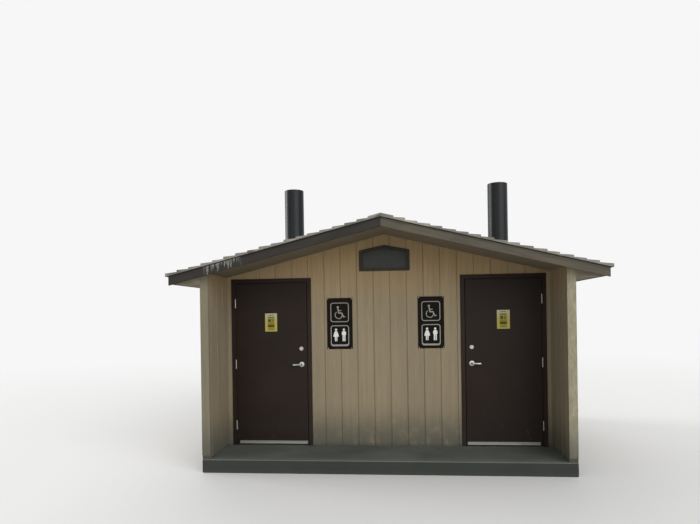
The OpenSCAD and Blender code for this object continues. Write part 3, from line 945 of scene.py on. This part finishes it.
def shake_grids(rng, starts, ends, upper, lower, s, side, last):
    """Points of a run of shakes, (shakes, sections, around, 3).

    Down the slope the height over the panel rises from the tip to the butt;
    across a shake seven points form a flat underside and a ridged upper face
    whose ridges keep their height along the split.
    """
    count = len(starts)
    each = (count, 1, 1)
    gap = s.joint * rng.uniform(*JOINT_SHARES, count)
    near, far = (edge[:, None, None] for edge in (starts + gap / 2, ends - gap / 2))
    reach = lower - rng.uniform(0.0, RAGGED_EAVE if last else RAGGED, count)
    x = (upper + (reach - upper)[:, None] * DOWN)[..., None] + 0 * ACROSS
    x[:, -1] += rng.uniform(-NICKS, 0.0, (count, 7))
    skew = rng.uniform(-SKEW, SKEW, each) * (DOWN - 0.5)[:, None]
    y = np.clip(near + (far - near) * ACROSS + skew, -ROOF_HALF_LENGTH, ROOF_HALF_LENGTH)
    thick = BUTT_PEAK - PANEL_PEAK - SHAKE_TIP + rng.uniform(-UNEVEN, UNEVEN, each)
    rise = SHAKE_TIP + thick * DOWN[:, None] + rng.uniform(-RIDGES, RIDGES, (count, 1, 7))
    rise[:, -1] -= WORN_BUTT
    rise = np.where(UPPER, rise, s.felt + FELT_CLEARANCE)
    return points(side * x, y, PANEL_PEAK - PITCH * x + rise)


def felt_grids(side, stack, hole, s):
    """Four sheets of felt on a slope, laid round the square hole of its stack.

    Each sheet is a rectangle of x and y lifted on the slope: its lower and its
    upper face are two sections of four corners.
    """
    edge, end = ROOF_EDGE - s.felt_margin, ROOF_HALF_LENGTH - s.felt_margin
    near, far, start, stop = np.array([
        (0.0, edge, -end, STACK_Y - hole), (0.0, edge, STACK_Y + hole, end),
        (0.0, stack - hole, STACK_Y - hole, STACK_Y + hole),
        (stack + hole, edge, STACK_Y - hole, STACK_Y + hole)]).T
    x = np.stack([near, far, far, near], -1)
    y = np.stack([start, start, stop, stop], -1)
    slope = PANEL_PEAK - PITCH * x
    return np.stack([points(side * x, y, slope + rise) for rise in (GAP, s.felt)], 1)


class OUTHOUSE_OT_shakes(bpy.types.Operator):
    """Lays the courses of split shakes on both slopes, cut round the vent stacks"""

    bl_idname = "outhouse.shakes"
    bl_label = "Shakes"

    def execute(self, context):
        s = context.scene.outhouse_roof
        width = ROOF_EDGE / s.courses
        hole = STACK_RADIUS + s.stack_gap
        span = (STACK_Y - hole, STACK_Y + hole)
        ends = (-ROOF_HALF_LENGTH, ROOF_HALF_LENGTH)
        for pair, (name, side) in enumerate(SIDES):
            stack = STACK_OFFSET[name]
            Shape().add(felt_grids(side, stack, hole, s)).build(f"{name}_felt", "felt", "shakes")
            rng = np.random.default_rng(SHAKE_SEED + pair)
            shape = Shape(seed=SHAKE_TINT_SEED + pair)
            for course in range(s.courses):
                upper, lower = course * width, (course + 1) * width
                begin = max(0.0, upper - s.lap)
                runs = [(*ends, begin, lower)]
                if lower > stack - hole and upper < stack + hole:
                    runs = [(ends[0], span[0], begin, lower), (span[1], ends[1], begin, lower)]
                    if upper < stack - hole:
                        runs.append((*span, begin, stack - hole))
                    elif lower > stack + hole:
                        runs.append((*span, stack + hole, lower))
                for start, end, above, below in runs:
                    shape.add(shake_grids(rng, *shake_spans(rng, start, end, s), above, below,
                                          s, side, course == s.courses - 1))
            shape.build(f"{name}_shake_courses", "shakes", "shakes", replaces=f"{name}_shakes")
        return {"FINISHED"}


# The ridge cap's boards: their lap, wear, thinner far end and ragged length,
# and the rounding of their lower edge (in, up).

CAP_LAP, CAP_WEAR, CAP_THINNER, CAP_RAGGED = 0.004, 0.002, 0.013, 0.006
CAP_ROUND = (0.006, 0.0015)
CAP_SEED, CAP_TINT_SEED = 5, 6


class OUTHOUSE_OT_ridge(bpy.types.Operator):
    """Lays the lapped boards of the ridge cap"""

    bl_idname = "outhouse.ridge"
    bl_label = "Ridge cap"

    def execute(self, context):
        start, (reach, end, top) = low("ridge_cap")[1], high("ridge_cap")
        eave = top - PITCH * reach
        count = max(4, round((end - start) / context.scene.outhouse_roof.cap_board))
        edges = np.linspace(start, end, count + 1)
        y = np.stack([edges[:-1], edges[1:] + CAP_LAP], 1).clip(start, end)
        # A board is five corners at each of its two ends: the underside's two on the
        # slope, and above them the worn edge, its rounding and the ridge.
        rng = np.random.default_rng(CAP_SEED)
        shape = Shape(seed=CAP_TINT_SEED)
        for side in (-1, 1):
            butt = rng.uniform(-CAP_WEAR, 0.0, count)
            thin = CAP_THINNER + rng.uniform(-CAP_WEAR, CAP_WEAR, count)
            sink = np.stack([-butt, thin], 1)
            out = reach - rng.uniform(0.0, CAP_RAGGED, count)[:, None]
            shape.add(sections(
                (0.0, y, top - CAP_THICKNESS), (side * out, y, eave - CAP_THICKNESS),
                (side * out, y, eave - sink),
                (side * (out - CAP_ROUND[0]), y, eave + CAP_ROUND[1] - sink),
                (0.0, y, top - sink)))
        shape.build("ridge_boards", "shakes", "shakes", replaces="ridge_cap")
        return {"FINISHED"}


class OUTHOUSE_OT_roof_trim(bpy.types.Operator):
    """Finishes the roof panels, rake boards, fascias and eaves"""

    bl_idname = "outhouse.roof_trim"
    bl_label = "Roof trim"

    def execute(self, context):
        for name, _ in SIDES:
            # The roof panels' undersides get the ceiling paint, darkened as painted shade.
            soften(f"{name}_roof_panel", "ceiling")
            # The left rakes carry painted shade, the right rakes painted light.
            soften(f"front_{name}_rake", f"rake_{name}", 0.003)
            soften(f"rear_{name}_rake", f"rake_{name}", 0.003)
        soften("eave_fascias", "fascia", 0.003)
        soften("eave_soffits", "soffit", 0.001)
        return {"FINISHED"}


# Openings

FLUTES = 14
FLUTE_DEPTH = 0.22


def flute_profile():
    """Cross-section of a threshold as shares of its depth and height, and its soil.

    The top is a low arch, 1 - (2u - 1)^4 / 4, less a square wave of flutes.
    """
    edges = np.linspace(0.16, 0.84, FLUTES + 1)
    start, step = edges[:-1, None], np.diff(edges)[:, None]
    hollow = np.arange(FLUTES)[:, None] % 2
    share = start + step * [0.08, 0.92]
    rise = 1 - np.abs(2 * start + step - 1) ** 4 * 0.25 - FLUTE_DEPTH * hollow + 0 * share
    soil = hollow + 0 * share
    return (np.concatenate([[0, 0, 0.10], share.ravel(), [0.90, 1, 1]]),
            np.concatenate([[0, 0.25, 0.86], rise.ravel(), [0.86, 0.25, 0]]),
            np.concatenate([[0, 0.3, 0], soil.ravel(), [0, 0.3, 0]]))


class OUTHOUSE_OT_floor(bpy.types.Operator):
    """Finishes the floor slab and builds the fluted thresholds"""

    bl_idname = "outhouse.floor"
    bl_label = "Floor"

    def execute(self, context):
        soften("floor_slab", "concrete", 0.006)
        start, end = corners("thresholds")
        size, outer = end - start, end[0]
        share, rise, soil = flute_profile()
        ends = np.array([[DOORWAY_EDGE + FRAME_EDGE - outer], [outer]])
        shape = Shape()
        for side in (-1, 1):
            shape.add(points(side * ends, start[1] + share * size[1], start[2] + rise * size[2]),
                      soil=soil)
        # Dark saddles, with painted shade under the door sweeps.
        shape.build("threshold_saddles", "bronze", "threshold_aluminium",
                    replaces="thresholds", bevel=0.0004)
        return {"FINISHED"}


# A door sweep's outline as shares of its height and depth, and the screws on a
# hinge plate: rows as shares of its height, columns and head in metres.

SWEEP_LIFT = 0.001
SWEEP_HEIGHT = np.array([0.0, 0.0, 0.06, 0.30, 0.36, 0.64, 0.70, 0.94, 1.0, 1.0])
SWEEP_OUT = np.array([0.0, 0.6, 1.0, 1.0, 0.62, 0.62, 1.0, 1.0, 0.6, 0.0])
SCREW_ROWS = np.array([-0.37, -0.13, 0.13, 0.37])
SCREW_COLUMNS = (0.012, 0.024)
SCREW_HEAD = np.array([(-0.0004, 0.0045), (0.0003, 0.0045), (0.0003, 0.0018), (0.0001, 0.0012)])


class OUTHOUSE_OT_doors(bpy.types.Operator):
    """Finishes the door frames, the leaves and their hinges"""

    bl_idname = "outhouse.doors"
    bl_label = "Doors"

    def execute(self, context):
        for name, side in SIDES:
            soften(f"{name}_door_frame", "door_frame", 0.0015)
            soften(f"{name}_door", "door", 0.0015)
            soften(f"{name}_frame_hinges", "steel", 0.0004)
            soften(f"{name}_door_hinges", "steel", 0.0004)
            self.sweep(context.scene.outhouse_hardware, name, side)
            self.screws(context.scene.outhouse_hardware, name, side)
        return {"FINISHED"}

    def sweep(self, s, name, side):
        """A ribbed strip across the foot of a leaf: one outline of (out, up) at both ends."""
        leaf_low, leaf_high = corners(f"{name}_door")
        insets = (s.sweep_inset, s.sweep_hinge_inset)[::side]
        ends = [[leaf_low[0] + insets[0]], [leaf_high[0] - insets[1]]]
        grid = points(ends, leaf_low[1] - SWEEP_OUT * s.sweep_depth,
                      leaf_low[2] + SWEEP_LIFT + SWEEP_HEIGHT * s.sweep)
        Shape().add(grid, soil=(1 - SWEEP_OUT) * 0.6).build(
            f"{name}_door_sweep", "aluminium", "threshold_aluminium", f"{name}_door",
            bevel=0.0005)

    def screws(self, s, name, side):
        """Four heads on each hinge plate: a low disc with a dimple, in a zigzag up the plate.

        The leaf's plates face the frame's plates across the pin line.
        """
        leaf_low, leaf_high = corners(f"{name}_door")
        hinge_low, hinge_high = corners(f"{name}_frame_hinges")
        leaf = leaf_high[0] if side > 0 else leaf_low[0]
        jamb = hinge_low[0] + hinge_high[0] - leaf
        middles = np.linspace(hinge_low[2] + s.hinge / 2, hinge_high[2] - s.hinge / 2, 3)
        rise = (middles[:, None] + s.hinge * SCREW_ROWS).ravel()
        depth = leaf_low[1] + np.tile(SCREW_COLUMNS, len(rise) // 2)
        cos, sin = ring(20)
        lift, radius = SCREW_HEAD.T[..., None]
        head = points(lift, radius * cos, radius * sin)
        for kind, x, outward, body in (("leaf", leaf, side, f"{name}_door"),
                                       ("frame", jamb, -side, BODY)):
            heads = points(x, depth, rise)[:, None, None] + head * [outward, 1, 1]
            Shape().add(heads).build(f"{name}_{kind}_hinge_screws", "steel", "satin_steel", body)


class OUTHOUSE_OT_windows(bpy.types.Operator):
    """Finishes the gable window frames and panes"""

    bl_idname = "outhouse.windows"
    bl_label = "Gable windows"

    def execute(self, context):
        for end in ("front", "rear"):
            soften(f"{end}_window_frame", "window_trim", 0.002)
            soften(f"{end}_window_pane", "pane")
        return {"FINISHED"}


# Locks. In each pair the first list is (inset from the rim, distance from the
# door) and the second (radius, distance from the door). The thumb turn and the
# keyway are (width, height, corner radius). A lever's grip starts at a share of
# its length; from there it leans to the door, drops, and gets thinner and taller.

ROSE = ([(0, 0), (0, 0.005), (0.0015, 0.0075), (0.005, 0.009)],
        [(0.022, 0.0098), (0.0155, 0.0105), (0.0135, 0.013), (0.0128, 0.020), (0.0105, 0.022)])
GUARD = ([(0, 0), (0, 0.004), (0.003, 0.0145), (0.006, 0.0175)],
         [(0.0175, 0.018), (0.0165, 0.0165), (0.0145, 0.0165), (0.0135, 0.0178),
          (0.002, 0.0178)])
COVER = ([(0, 0), (0, 0.004), (0.003, 0.0065)], [(0.012, 0.0072), (0.002, 0.0072)])
GUARD_FACE, KEYWAY_DEPTH = 0.0179, 0.0006
KEYWAY = (0.0028, 0.0135, 0.0013)
THUMB_TURN, THUMB_REACH = (0.012, 0.036, 0.005), (0.007, 0.0098)
GRIP_START, GRIP_LEAN, GRIP_DROP = 0.35, 0.004, 0.003
GRIP_THINNER, GRIP_TALLER = 0.0065, 0.0045
TIP_LENGTH = 0.009


def lathed(lists, rim, place, outward):
    """A rose, guard or cover turned about its axis, with its rim at the given radius."""
    profile = [(rim - inset, reach) for inset, reach in lists[0]] + lists[1]
    return turned(np.array(profile) * [1, outward], place)


def lever(s, origin, side, outward):
    """Grid of a lever: an oval carried out of its rose, round a quarter bend and along the door.

    In the grip the oval gets thinner and taller in proportion to the share of the
    length passed there. Its end is a quarter ellipse: both radii are multiplied by
    the root of 1 - (1 - v)^2, with v the share of the tip's length still ahead.
    """
    turn = np.linspace(0, math.pi / 2, 9)[1:]
    neck = np.linspace(0.0, s.lever_neck, 4)
    grip = np.append(np.linspace(0, 0.9, 9)[1:], [0.93, 0.955, 0.975, 0.99, 1.0])
    along = np.concatenate([0 * neck, s.lever_bend * (1 - np.cos(turn)),
                            s.lever_bend + (s.lever_reach - s.lever_bend) * grip])
    away = np.concatenate([neck, s.lever_neck + s.lever_bend * np.sin(turn),
                           s.lever_neck + s.lever_bend - GRIP_LEAN * grip ** 2])
    drop = np.concatenate([0 * neck, 0 * turn, -GRIP_DROP * grip ** 2])
    path = origin + points(side * along, outward * away, drop)
    passed = np.append(0.0, np.linalg.norm(np.diff(path, axis=0), axis=1).cumsum())[:, None]
    whole = passed[-1, 0]
    late = np.maximum(passed / whole - GRIP_START, 0.0)
    left = np.minimum((whole - passed) / TIP_LENGTH, 1.0)
    tip = np.maximum(1 - (1 - left) ** 2, 0.01) ** 0.5
    cos, sin = ring(20)
    outlines = np.stack([(s.lever_radius - late * GRIP_THINNER) * tip * cos,
                         (s.lever_radius + late * GRIP_TALLER) * tip * sin], -1)
    return swept(path, outlines)


class OUTHOUSE_OT_locks(bpy.types.Operator):
    """Builds the lever sets and deadbolts on both faces of the doors"""

    bl_idname = "outhouse.locks"
    bl_label = "Locks"

    def execute(self, context):
        s = context.scene.outhouse_hardware
        for name, side in SIDES:
            body = f"{name}_door"
            lever_low, lever_high = corners(f"{name}_lever_set")
            rose = (lever_high[2] - lever_low[2]) / 2
            line = (lever_low[0] if side > 0 else lever_high[0]) + side * rose
            height = centre(f"{name}_lever_set")[2]
            bolt_height = centre(f"{name}_deadbolt")[2]
            radius = high(f"{name}_deadbolt")[2] - bolt_height
            outside, inside = low(body)[1], high(body)[1]
            levers, bolts = Shape(), Shape()
            for face, outward, plug in ((outside, -1, GUARD), (inside, 1, COVER)):
                origin = np.array([line, face, height])
                levers.add(lathed(ROSE, rose, origin, outward))
                levers.add(lever(s, origin, side, outward))
                bolts.add(lathed(plug, radius, [line, face, bolt_height], outward))
            thumb = rounded_box(line, bolt_height, *THUMB_TURN)
            bolts.add(plate(thumb, *(inside + reach for reach in THUMB_REACH)))
            levers.build(f"{name}_levers", "steel", "satin_steel", body,
                         f"{name}_lever_set", smooth=35)
            bolts.build(f"{name}_deadbolt_cylinder", "steel", "satin_steel", body,
                        f"{name}_deadbolt", smooth=35)
            # The keyway is a thin dark plate flush with the guard: painted shade of the key slot.
            keyway_shade = rounded_box(line, bolt_height, *KEYWAY, count=4)
            front = outside - GUARD_FACE
            Shape().add(plate(keyway_shade, front, front + KEYWAY_DEPTH)).build(
                f"{name}_keyway", "flashing", "satin_steel", body)
        return {"FINISHED"}


# Stacks. A flashing's rings are (radius over the collar's, height over the
# shakes, share of the roof's slope); the plate's two rings are square instead,
# and a share of 0 stands for the collar's level rim. The clamp's ring is
# (radius over the collar's, height over that rim), and a pipe's rim (in, down).

AROUND = 64
COLLAR_GAP = 0.004
ROLLED_RIM = np.array([(0.0, 0.006), (0.0008, 0.002), (0.0028, 0.0)])
BORE_RIM = np.array([(-0.0016, 0.0), (0.0, 0.002)])
FLASHING = np.array([
    (math.nan, 0.0006, 1), (math.nan, 0.0036, 1), (0.03, 0.0042, 1), (0.012, 0.008, 1),
    (0.0035, 0.022, 0.6), (0.002, 0, 0), (-0.0012, 0, 0), (-0.0012, 0.0006, 1)])
CLAMP = np.array([(0.0002, -0.034), (0.0038, -0.034), (0.0038, -0.018), (0.0002, -0.018)])


def flashing(name, side):
    """Grid of a roof flashing: rings of r cos t, r sin t that follow the slope, then the rim."""
    corner_low, corner_high = corners(f"{name}_stack_flashing")
    half, rim = (corner_high[0] - corner_low[0]) / 2, corner_high[2]
    step, lift, follow = FLASHING.T[..., None]
    cos, sin = ring(AROUND)
    square = half / np.maximum(np.abs(cos), np.abs(sin))
    radius = np.where(np.isnan(step), square, STACK_RADIUS + COLLAR_GAP + step)
    x = radius * cos
    slope = BUTT_PEAK - PITCH * (STACK_OFFSET[name] + side * follow * x) + lift
    return points(side * STACK_OFFSET[name] + x, STACK_Y + radius * sin,
                  np.where(follow > 0, slope, rim))


class OUTHOUSE_OT_stacks(bpy.types.Operator):
    """Builds the vent stacks with rolled rims and their flashings"""

    bl_idname = "outhouse.stacks"
    bl_label = "Vent stacks"

    def execute(self, context):
        outer, bottom, top = STACK_RADIUS, STACK_LOW[2], STACK_HIGH[2]
        inner = outer - context.scene.outhouse_hardware.stack_wall
        pipe = np.vstack([(outer, bottom), (outer, top) - ROLLED_RIM,
                          (inner, top) - BORE_RIM, (inner, bottom)])
        for name, side in SIDES:
            place = (side * STACK_OFFSET[name], STACK_Y, 0)
            Shape().add(turned(pipe, place, "z", AROUND), wrap=True).build(
                f"{name}_vent_pipe", "pipe", "black_pipe",
                replaces=f"{name}_vent_stack", smooth=30)
            clamp = CLAMP + [outer + COLLAR_GAP, high(f"{name}_stack_flashing")[2]]
            shape = Shape().add(flashing(name, side), wrap=True, soil=0.35)
            shape.add(turned(clamp, place, "z", AROUND), wrap=True).build(
                f"{name}_roof_flashing", "flashing", "black_pipe",
                replaces=f"{name}_stack_flashing", smooth=40)
        return {"FINISHED"}


# Signs. Figures are in millimetres about their own middle. Their places are
# (across, drop), with the drop measured from the board's top. Borders are (drop,
# height, extra thickness of the foot), marks (across, drop, width, height) and the
# notice's panel (width, height, corner radius). Reliefs are how far the faces stand
# out, and SUNK is how deep the backs lie. Each stroke of the seated figure lies an
# OVERLAP_STEP over the one before, so that no two faces meet in one plane.

WHEEL = np.radians(np.linspace(128, 372, 26))
SEATED = (
    ([(-12, 46), (-10, 30), (-6, 12), (-3, -4)], 15),
    ([(-9, 25), (2, 25), (14, 25), (27, 25)], 9),
    ([(-3, -6), (12, -6), (26, -6), (36, -7)], 13.5),
    ([(36, -8), (42, -22), (49, -38), (56, -54)], 12),
    ([(55, -55), (60, -55), (66, -53), (73, -50)], 9.5),
    (np.stack([-4 + 44 * np.cos(WHEEL), -30 + 44 * np.sin(WHEEL)], -1), 9.5),
)
SKIRT = [(8, 46), (16, 42), (22, 28), (31, -2), (34, -22), (17, -24), (14, -78), (3, -78),
         (3, -24)]
TROUSERS = [(9, 46), (19, 42), (25, 30), (27, 2), (20, 2), (18, -2), (18, -78), (3, -78),
            (3, -10)]
SEATED_PLACE = (-0.008, 0.181)
STANDING = ((-0.048, 0.456, SKIRT), (0.050, 0.456, TROUSERS))
HEAD_RISE, HEAD_RADIUS = 0.064, 0.0138
OVERLAP_STEP = 0.00004
BORDERS = ((0.178, 0.240, 0.0), (0.4675, 0.258, 0.012))
SCREW_INSET = (0.013, 0.0, 0.011)
SIGN_SCREW = [(0.0042, 0.0), (0.0042, -0.0008), (0.003, -0.0016), (0.001, -0.0018)]
NOTICE_MARKS = (
    (0, 0.022, 0.070, 0.008), (0, 0.052, 0.070, 0.008), (-0.019, 0.091, 0.032, 0.036),
    (0.020, 0.077, 0.030, 0.007), (0.020, 0.091, 0.030, 0.007), (0.020, 0.105, 0.030, 0.007),
    (0, 0.124, 0.070, 0.006), (0, 0.156, 0.080, 0.034), (0, 0.196, 0.060, 0.007))
PANEL_DROP, PANEL = 0.126, (0.094, 0.176, 0.006)
PANEL_RELIEF, MARK_RELIEF, MARK_CORNER = 0.0003, 0.0006, 0.003
SUNK = 0.0005


def seated_figure(x, z):
    """Outlines of a seated figure in a wheelchair: strokes, a head and an open wheel."""
    outlines = [stroke(line, width) for line, width in SEATED] + [disc(-14, 67, 13.5)]
    return [np.array([x, z]) + outline / 1000 for outline in outlines]


def standing_figure(x, z, right):
    """Outlines of a standing figure: a head and one body outline mirrored about its middle."""
    half = np.array(right, float)
    body = np.concatenate([half, (half * [-1, 1])[::-1]]) / 1000
    return [np.array([x, z]) + body, disc(x, z + HEAD_RISE, HEAD_RADIUS)]


class OUTHOUSE_OT_signs(bpy.types.Operator):
    """Builds the borders and figures of the signs and the marks of the door notices"""

    bl_idname = "outhouse.signs"
    bl_label = "Signs"

    def execute(self, context):
        for name, _ in SIDES:
            self.board(context.scene.outhouse_signs, name)
            self.notice(name)
        return {"FINISHED"}

    def board(self, s, name):
        """Borders, a seated figure, two standing figures and four screws on a sign board."""
        soften(f"{name}_sign", "board", 0.0008)
        corner_low, corner_high = corners(f"{name}_sign")
        middle, _, half_way = centre(f"{name}_sign")
        face, top = corner_low[1], corner_high[2]
        front, back = face - s.relief, face + SUNK
        faded, bright = Shape(), Shape()
        for drop, height, foot in BORDERS:
            outer = rounded_box(middle, top - drop, s.width, height, s.corner)
            inner = rounded_box(middle, top - drop + foot / 2, s.width - 2 * s.stroke,
                                height - 2 * s.stroke - foot, s.corner - s.stroke)
            faded.add(band(inner, outer, front, back), wrap=True)
        across, drop = SEATED_PLACE
        for k, outline in enumerate(seated_figure(middle + across, top - drop)):
            faded.add(plate(outline, front - OVERLAP_STEP * k, back))
        faded.build(f"{name}_sign_borders", "faded_figure", "sign_plastic")
        for across, drop, right in STANDING:
            for outline in standing_figure(middle + across, top - drop, right):
                bright.add(plate(outline, front, back))
        reach_x, _, reach_z = (corner_high - corner_low) / 2 - SCREW_INSET
        for x in (middle - reach_x, middle + reach_x):
            for z in (half_way - reach_z, half_way + reach_z):
                bright.add(turned(SIGN_SCREW, (x, face, z), count=16))
        bright.build(f"{name}_sign_figures", "figure", "sign_plastic")

    def notice(self, name):
        """A printed panel with its marks on a notice plate."""
        soften(f"{name}_notice", "notice", 0.0005)
        middle, face = centre(f"{name}_notice")[0], low(f"{name}_notice")[1]
        top = high(f"{name}_notice")[2]
        panel = rounded_box(middle, top - PANEL_DROP, *PANEL, count=4)
        Shape().add(plate(panel, face - PANEL_RELIEF, face + SUNK)).build(
            f"{name}_notice_panel", "notice_panel", "notice_plate", f"{name}_door")
        marks = Shape()
        for across, drop, width, height in NOTICE_MARKS:
            outline = rounded_box(
                middle + across, top - drop, width, height, MARK_CORNER, 4)
            marks.add(plate(outline, face - MARK_RELIEF, face + SUNK))
        marks.build(f"{name}_notice_marks", "notice_mark", "notice_plate", f"{name}_door")


# Stage. Lamps are (name, strength over the key's, softness, tilt, turn), in
# degrees. The camera stands where the photograph was taken from. The floor
# fades into the background between the two distances of FADE.

LAMPS = (("key", 0.95, 50, 70, 40), ("fill", 0.38, 60, 79, -6),
         ("side", 0.9, 32, 76, 257), ("rear", 0.5, 50, 50, 190))
CAMERA_PLACE = (0.2575, -8.1596, 1.7737)
CAMERA_YAW, CAMERA_ROLL = 0.096, 0.015
CAMERA_SHIFT = (-0.00133, 0.07477)
FLOOR_RADIUS, FLOOR_SIDES, FLOOR_DROP = 60.0, 96, 0.001
FLOOR_COLOUR = (0.72, 0.72, 0.715)
FADE = (5.0, 20.0)


class OUTHOUSE_OT_stage(bpy.types.Operator):
    """Sets the pale floor, the soft lights and the camera"""

    bl_idname = "outhouse.stage"
    bl_label = "Stage"

    def execute(self, context):
        s = context.scene.outhouse_stage
        self.world(context.scene, s)
        self.floor(s)
        self.lights(s)
        self.camera(context.scene, s)
        return {"FINISHED"}

    def world(self, scene, s):
        """Even light, with the background's own brightness where it is seen."""
        scene.world = bpy.data.worlds.new("studio")
        tree = Tree(scene.world)
        background = tree.nodes["Background"]
        tree.feed(background.inputs["Color"], (1, 1, 1))
        tree.feed(background.inputs["Strength"], tree.node("ShaderNodeMapRange", None, {
            "Value": tree.background_rays(), "To Min": s.ambient, "To Max": s.background}))

    def floor(self, s):
        """A wide disc that fades into the background far from the building."""
        outline = np.stack(ring(FLOOR_SIDES)) * FLOOR_RADIUS
        mesh = bpy.data.meshes.new("studio_floor")
        mesh.from_pydata(points(*outline, -FLOOR_DROP).tolist(), [], [range(FLOOR_SIDES)])
        f = Finish("studio_floor")
        mesh.materials.append(f.done(FLOOR_COLOUR, 0.9, Specular_IOR_Level=0.1))
        far = (f.along(0) * f.along(0) + f.along(1) * f.along(1)) ** 0.5
        glow = f.node("ShaderNodeEmission", None, {"Color": (s.background,) * 3, "Strength": 1.0})
        mixed = f.node("ShaderNodeMixShader", None, {
            0: far.between(*FADE) * f.background_rays(),
            1: Value(f, f.shader.outputs[0]), 2: glow})
        f.feed(f.nodes["Material Output"].inputs["Surface"], mixed)
        link("studio_floor", mesh)

    def lights(self, s):
        """A broad key from the front right and low, weaker lights from the other sides."""
        for name, strength, softness, tilt, turn in LAMPS:
            lamp = bpy.data.lights.new(name, "SUN")
            lamp.energy = s.key * strength
            lamp.angle = math.radians(softness)
            link(name, lamp).rotation_euler = (math.radians(tilt), 0, math.radians(turn))

    def camera(self, scene, s):
        """Camera at the photograph's place: yaw about +Z, then a small roll about its view."""
        lens = bpy.data.cameras.new("view")
        lens.sensor_width = 36.0
        lens.lens = s.lens
        lens.shift_x, lens.shift_y = CAMERA_SHIFT
        lens.clip_end = 300.0
        camera = link("view", lens)
        upright = Matrix.Rotation(math.pi / 2, 4, "X")
        camera.matrix_world = (
            Matrix.Translation(CAMERA_PLACE) @ Matrix.Rotation(CAMERA_YAW, 4, "Z")
            @ upright @ Matrix.Rotation(-CAMERA_ROLL, 4, "Z"))
        scene.camera = camera
        scene.view_settings.view_transform = "Standard"


STEPS = (
    OUTHOUSE_OT_finishes, OUTHOUSE_OT_siding, OUTHOUSE_OT_shakes, OUTHOUSE_OT_ridge,
    OUTHOUSE_OT_roof_trim, OUTHOUSE_OT_floor, OUTHOUSE_OT_doors, OUTHOUSE_OT_windows,
    OUTHOUSE_OT_locks, OUTHOUSE_OT_stacks, OUTHOUSE_OT_signs, OUTHOUSE_OT_stage,
)
GROUPS = (
    ("outhouse_siding", SidingSettings), ("outhouse_roof", RoofSettings),
    ("outhouse_hardware", HardwareSettings), ("outhouse_signs", SignSettings),
    ("outhouse_stage", StageSettings),
)


class OUTHOUSE_PT_panel(bpy.types.Panel):
    """Lists the building's steps and their settings"""

    bl_idname = "OUTHOUSE_PT_panel"
    bl_label = "Outhouse"
    bl_space_type = "VIEW_3D"
    bl_region_type = "UI"
    bl_category = "Outhouse"

    def draw(self, context):
        for name, group in GROUPS:
            box = self.layout.box()
            for key in group.__annotations__:
                box.prop(getattr(context.scene, name), key)
        for step in STEPS:
            self.layout.operator(step.bl_idname)


def register():
    """Registers the settings, the steps and the panel."""
    for name, group in GROUPS:
        bpy.utils.register_class(group)
        setattr(bpy.types.Scene, name, bpy.props.PointerProperty(type=group))
    for made in (*STEPS, OUTHOUSE_PT_panel):
        bpy.utils.register_class(made)


def unregister():
    """Takes them out again."""
    for made in (OUTHOUSE_PT_panel, *reversed(STEPS)):
        bpy.utils.unregister_class(made)
    for name, group in reversed(GROUPS):
        delattr(bpy.types.Scene, name)
        bpy.utils.unregister_class(group)


def main():
    register()
    for step in STEPS:
        family, action = step.bl_idname.split(".")
        getattr(getattr(bpy.ops, family), action)()
    bpy.context.view_layer.update()


if __name__ == "__main__":
    main()
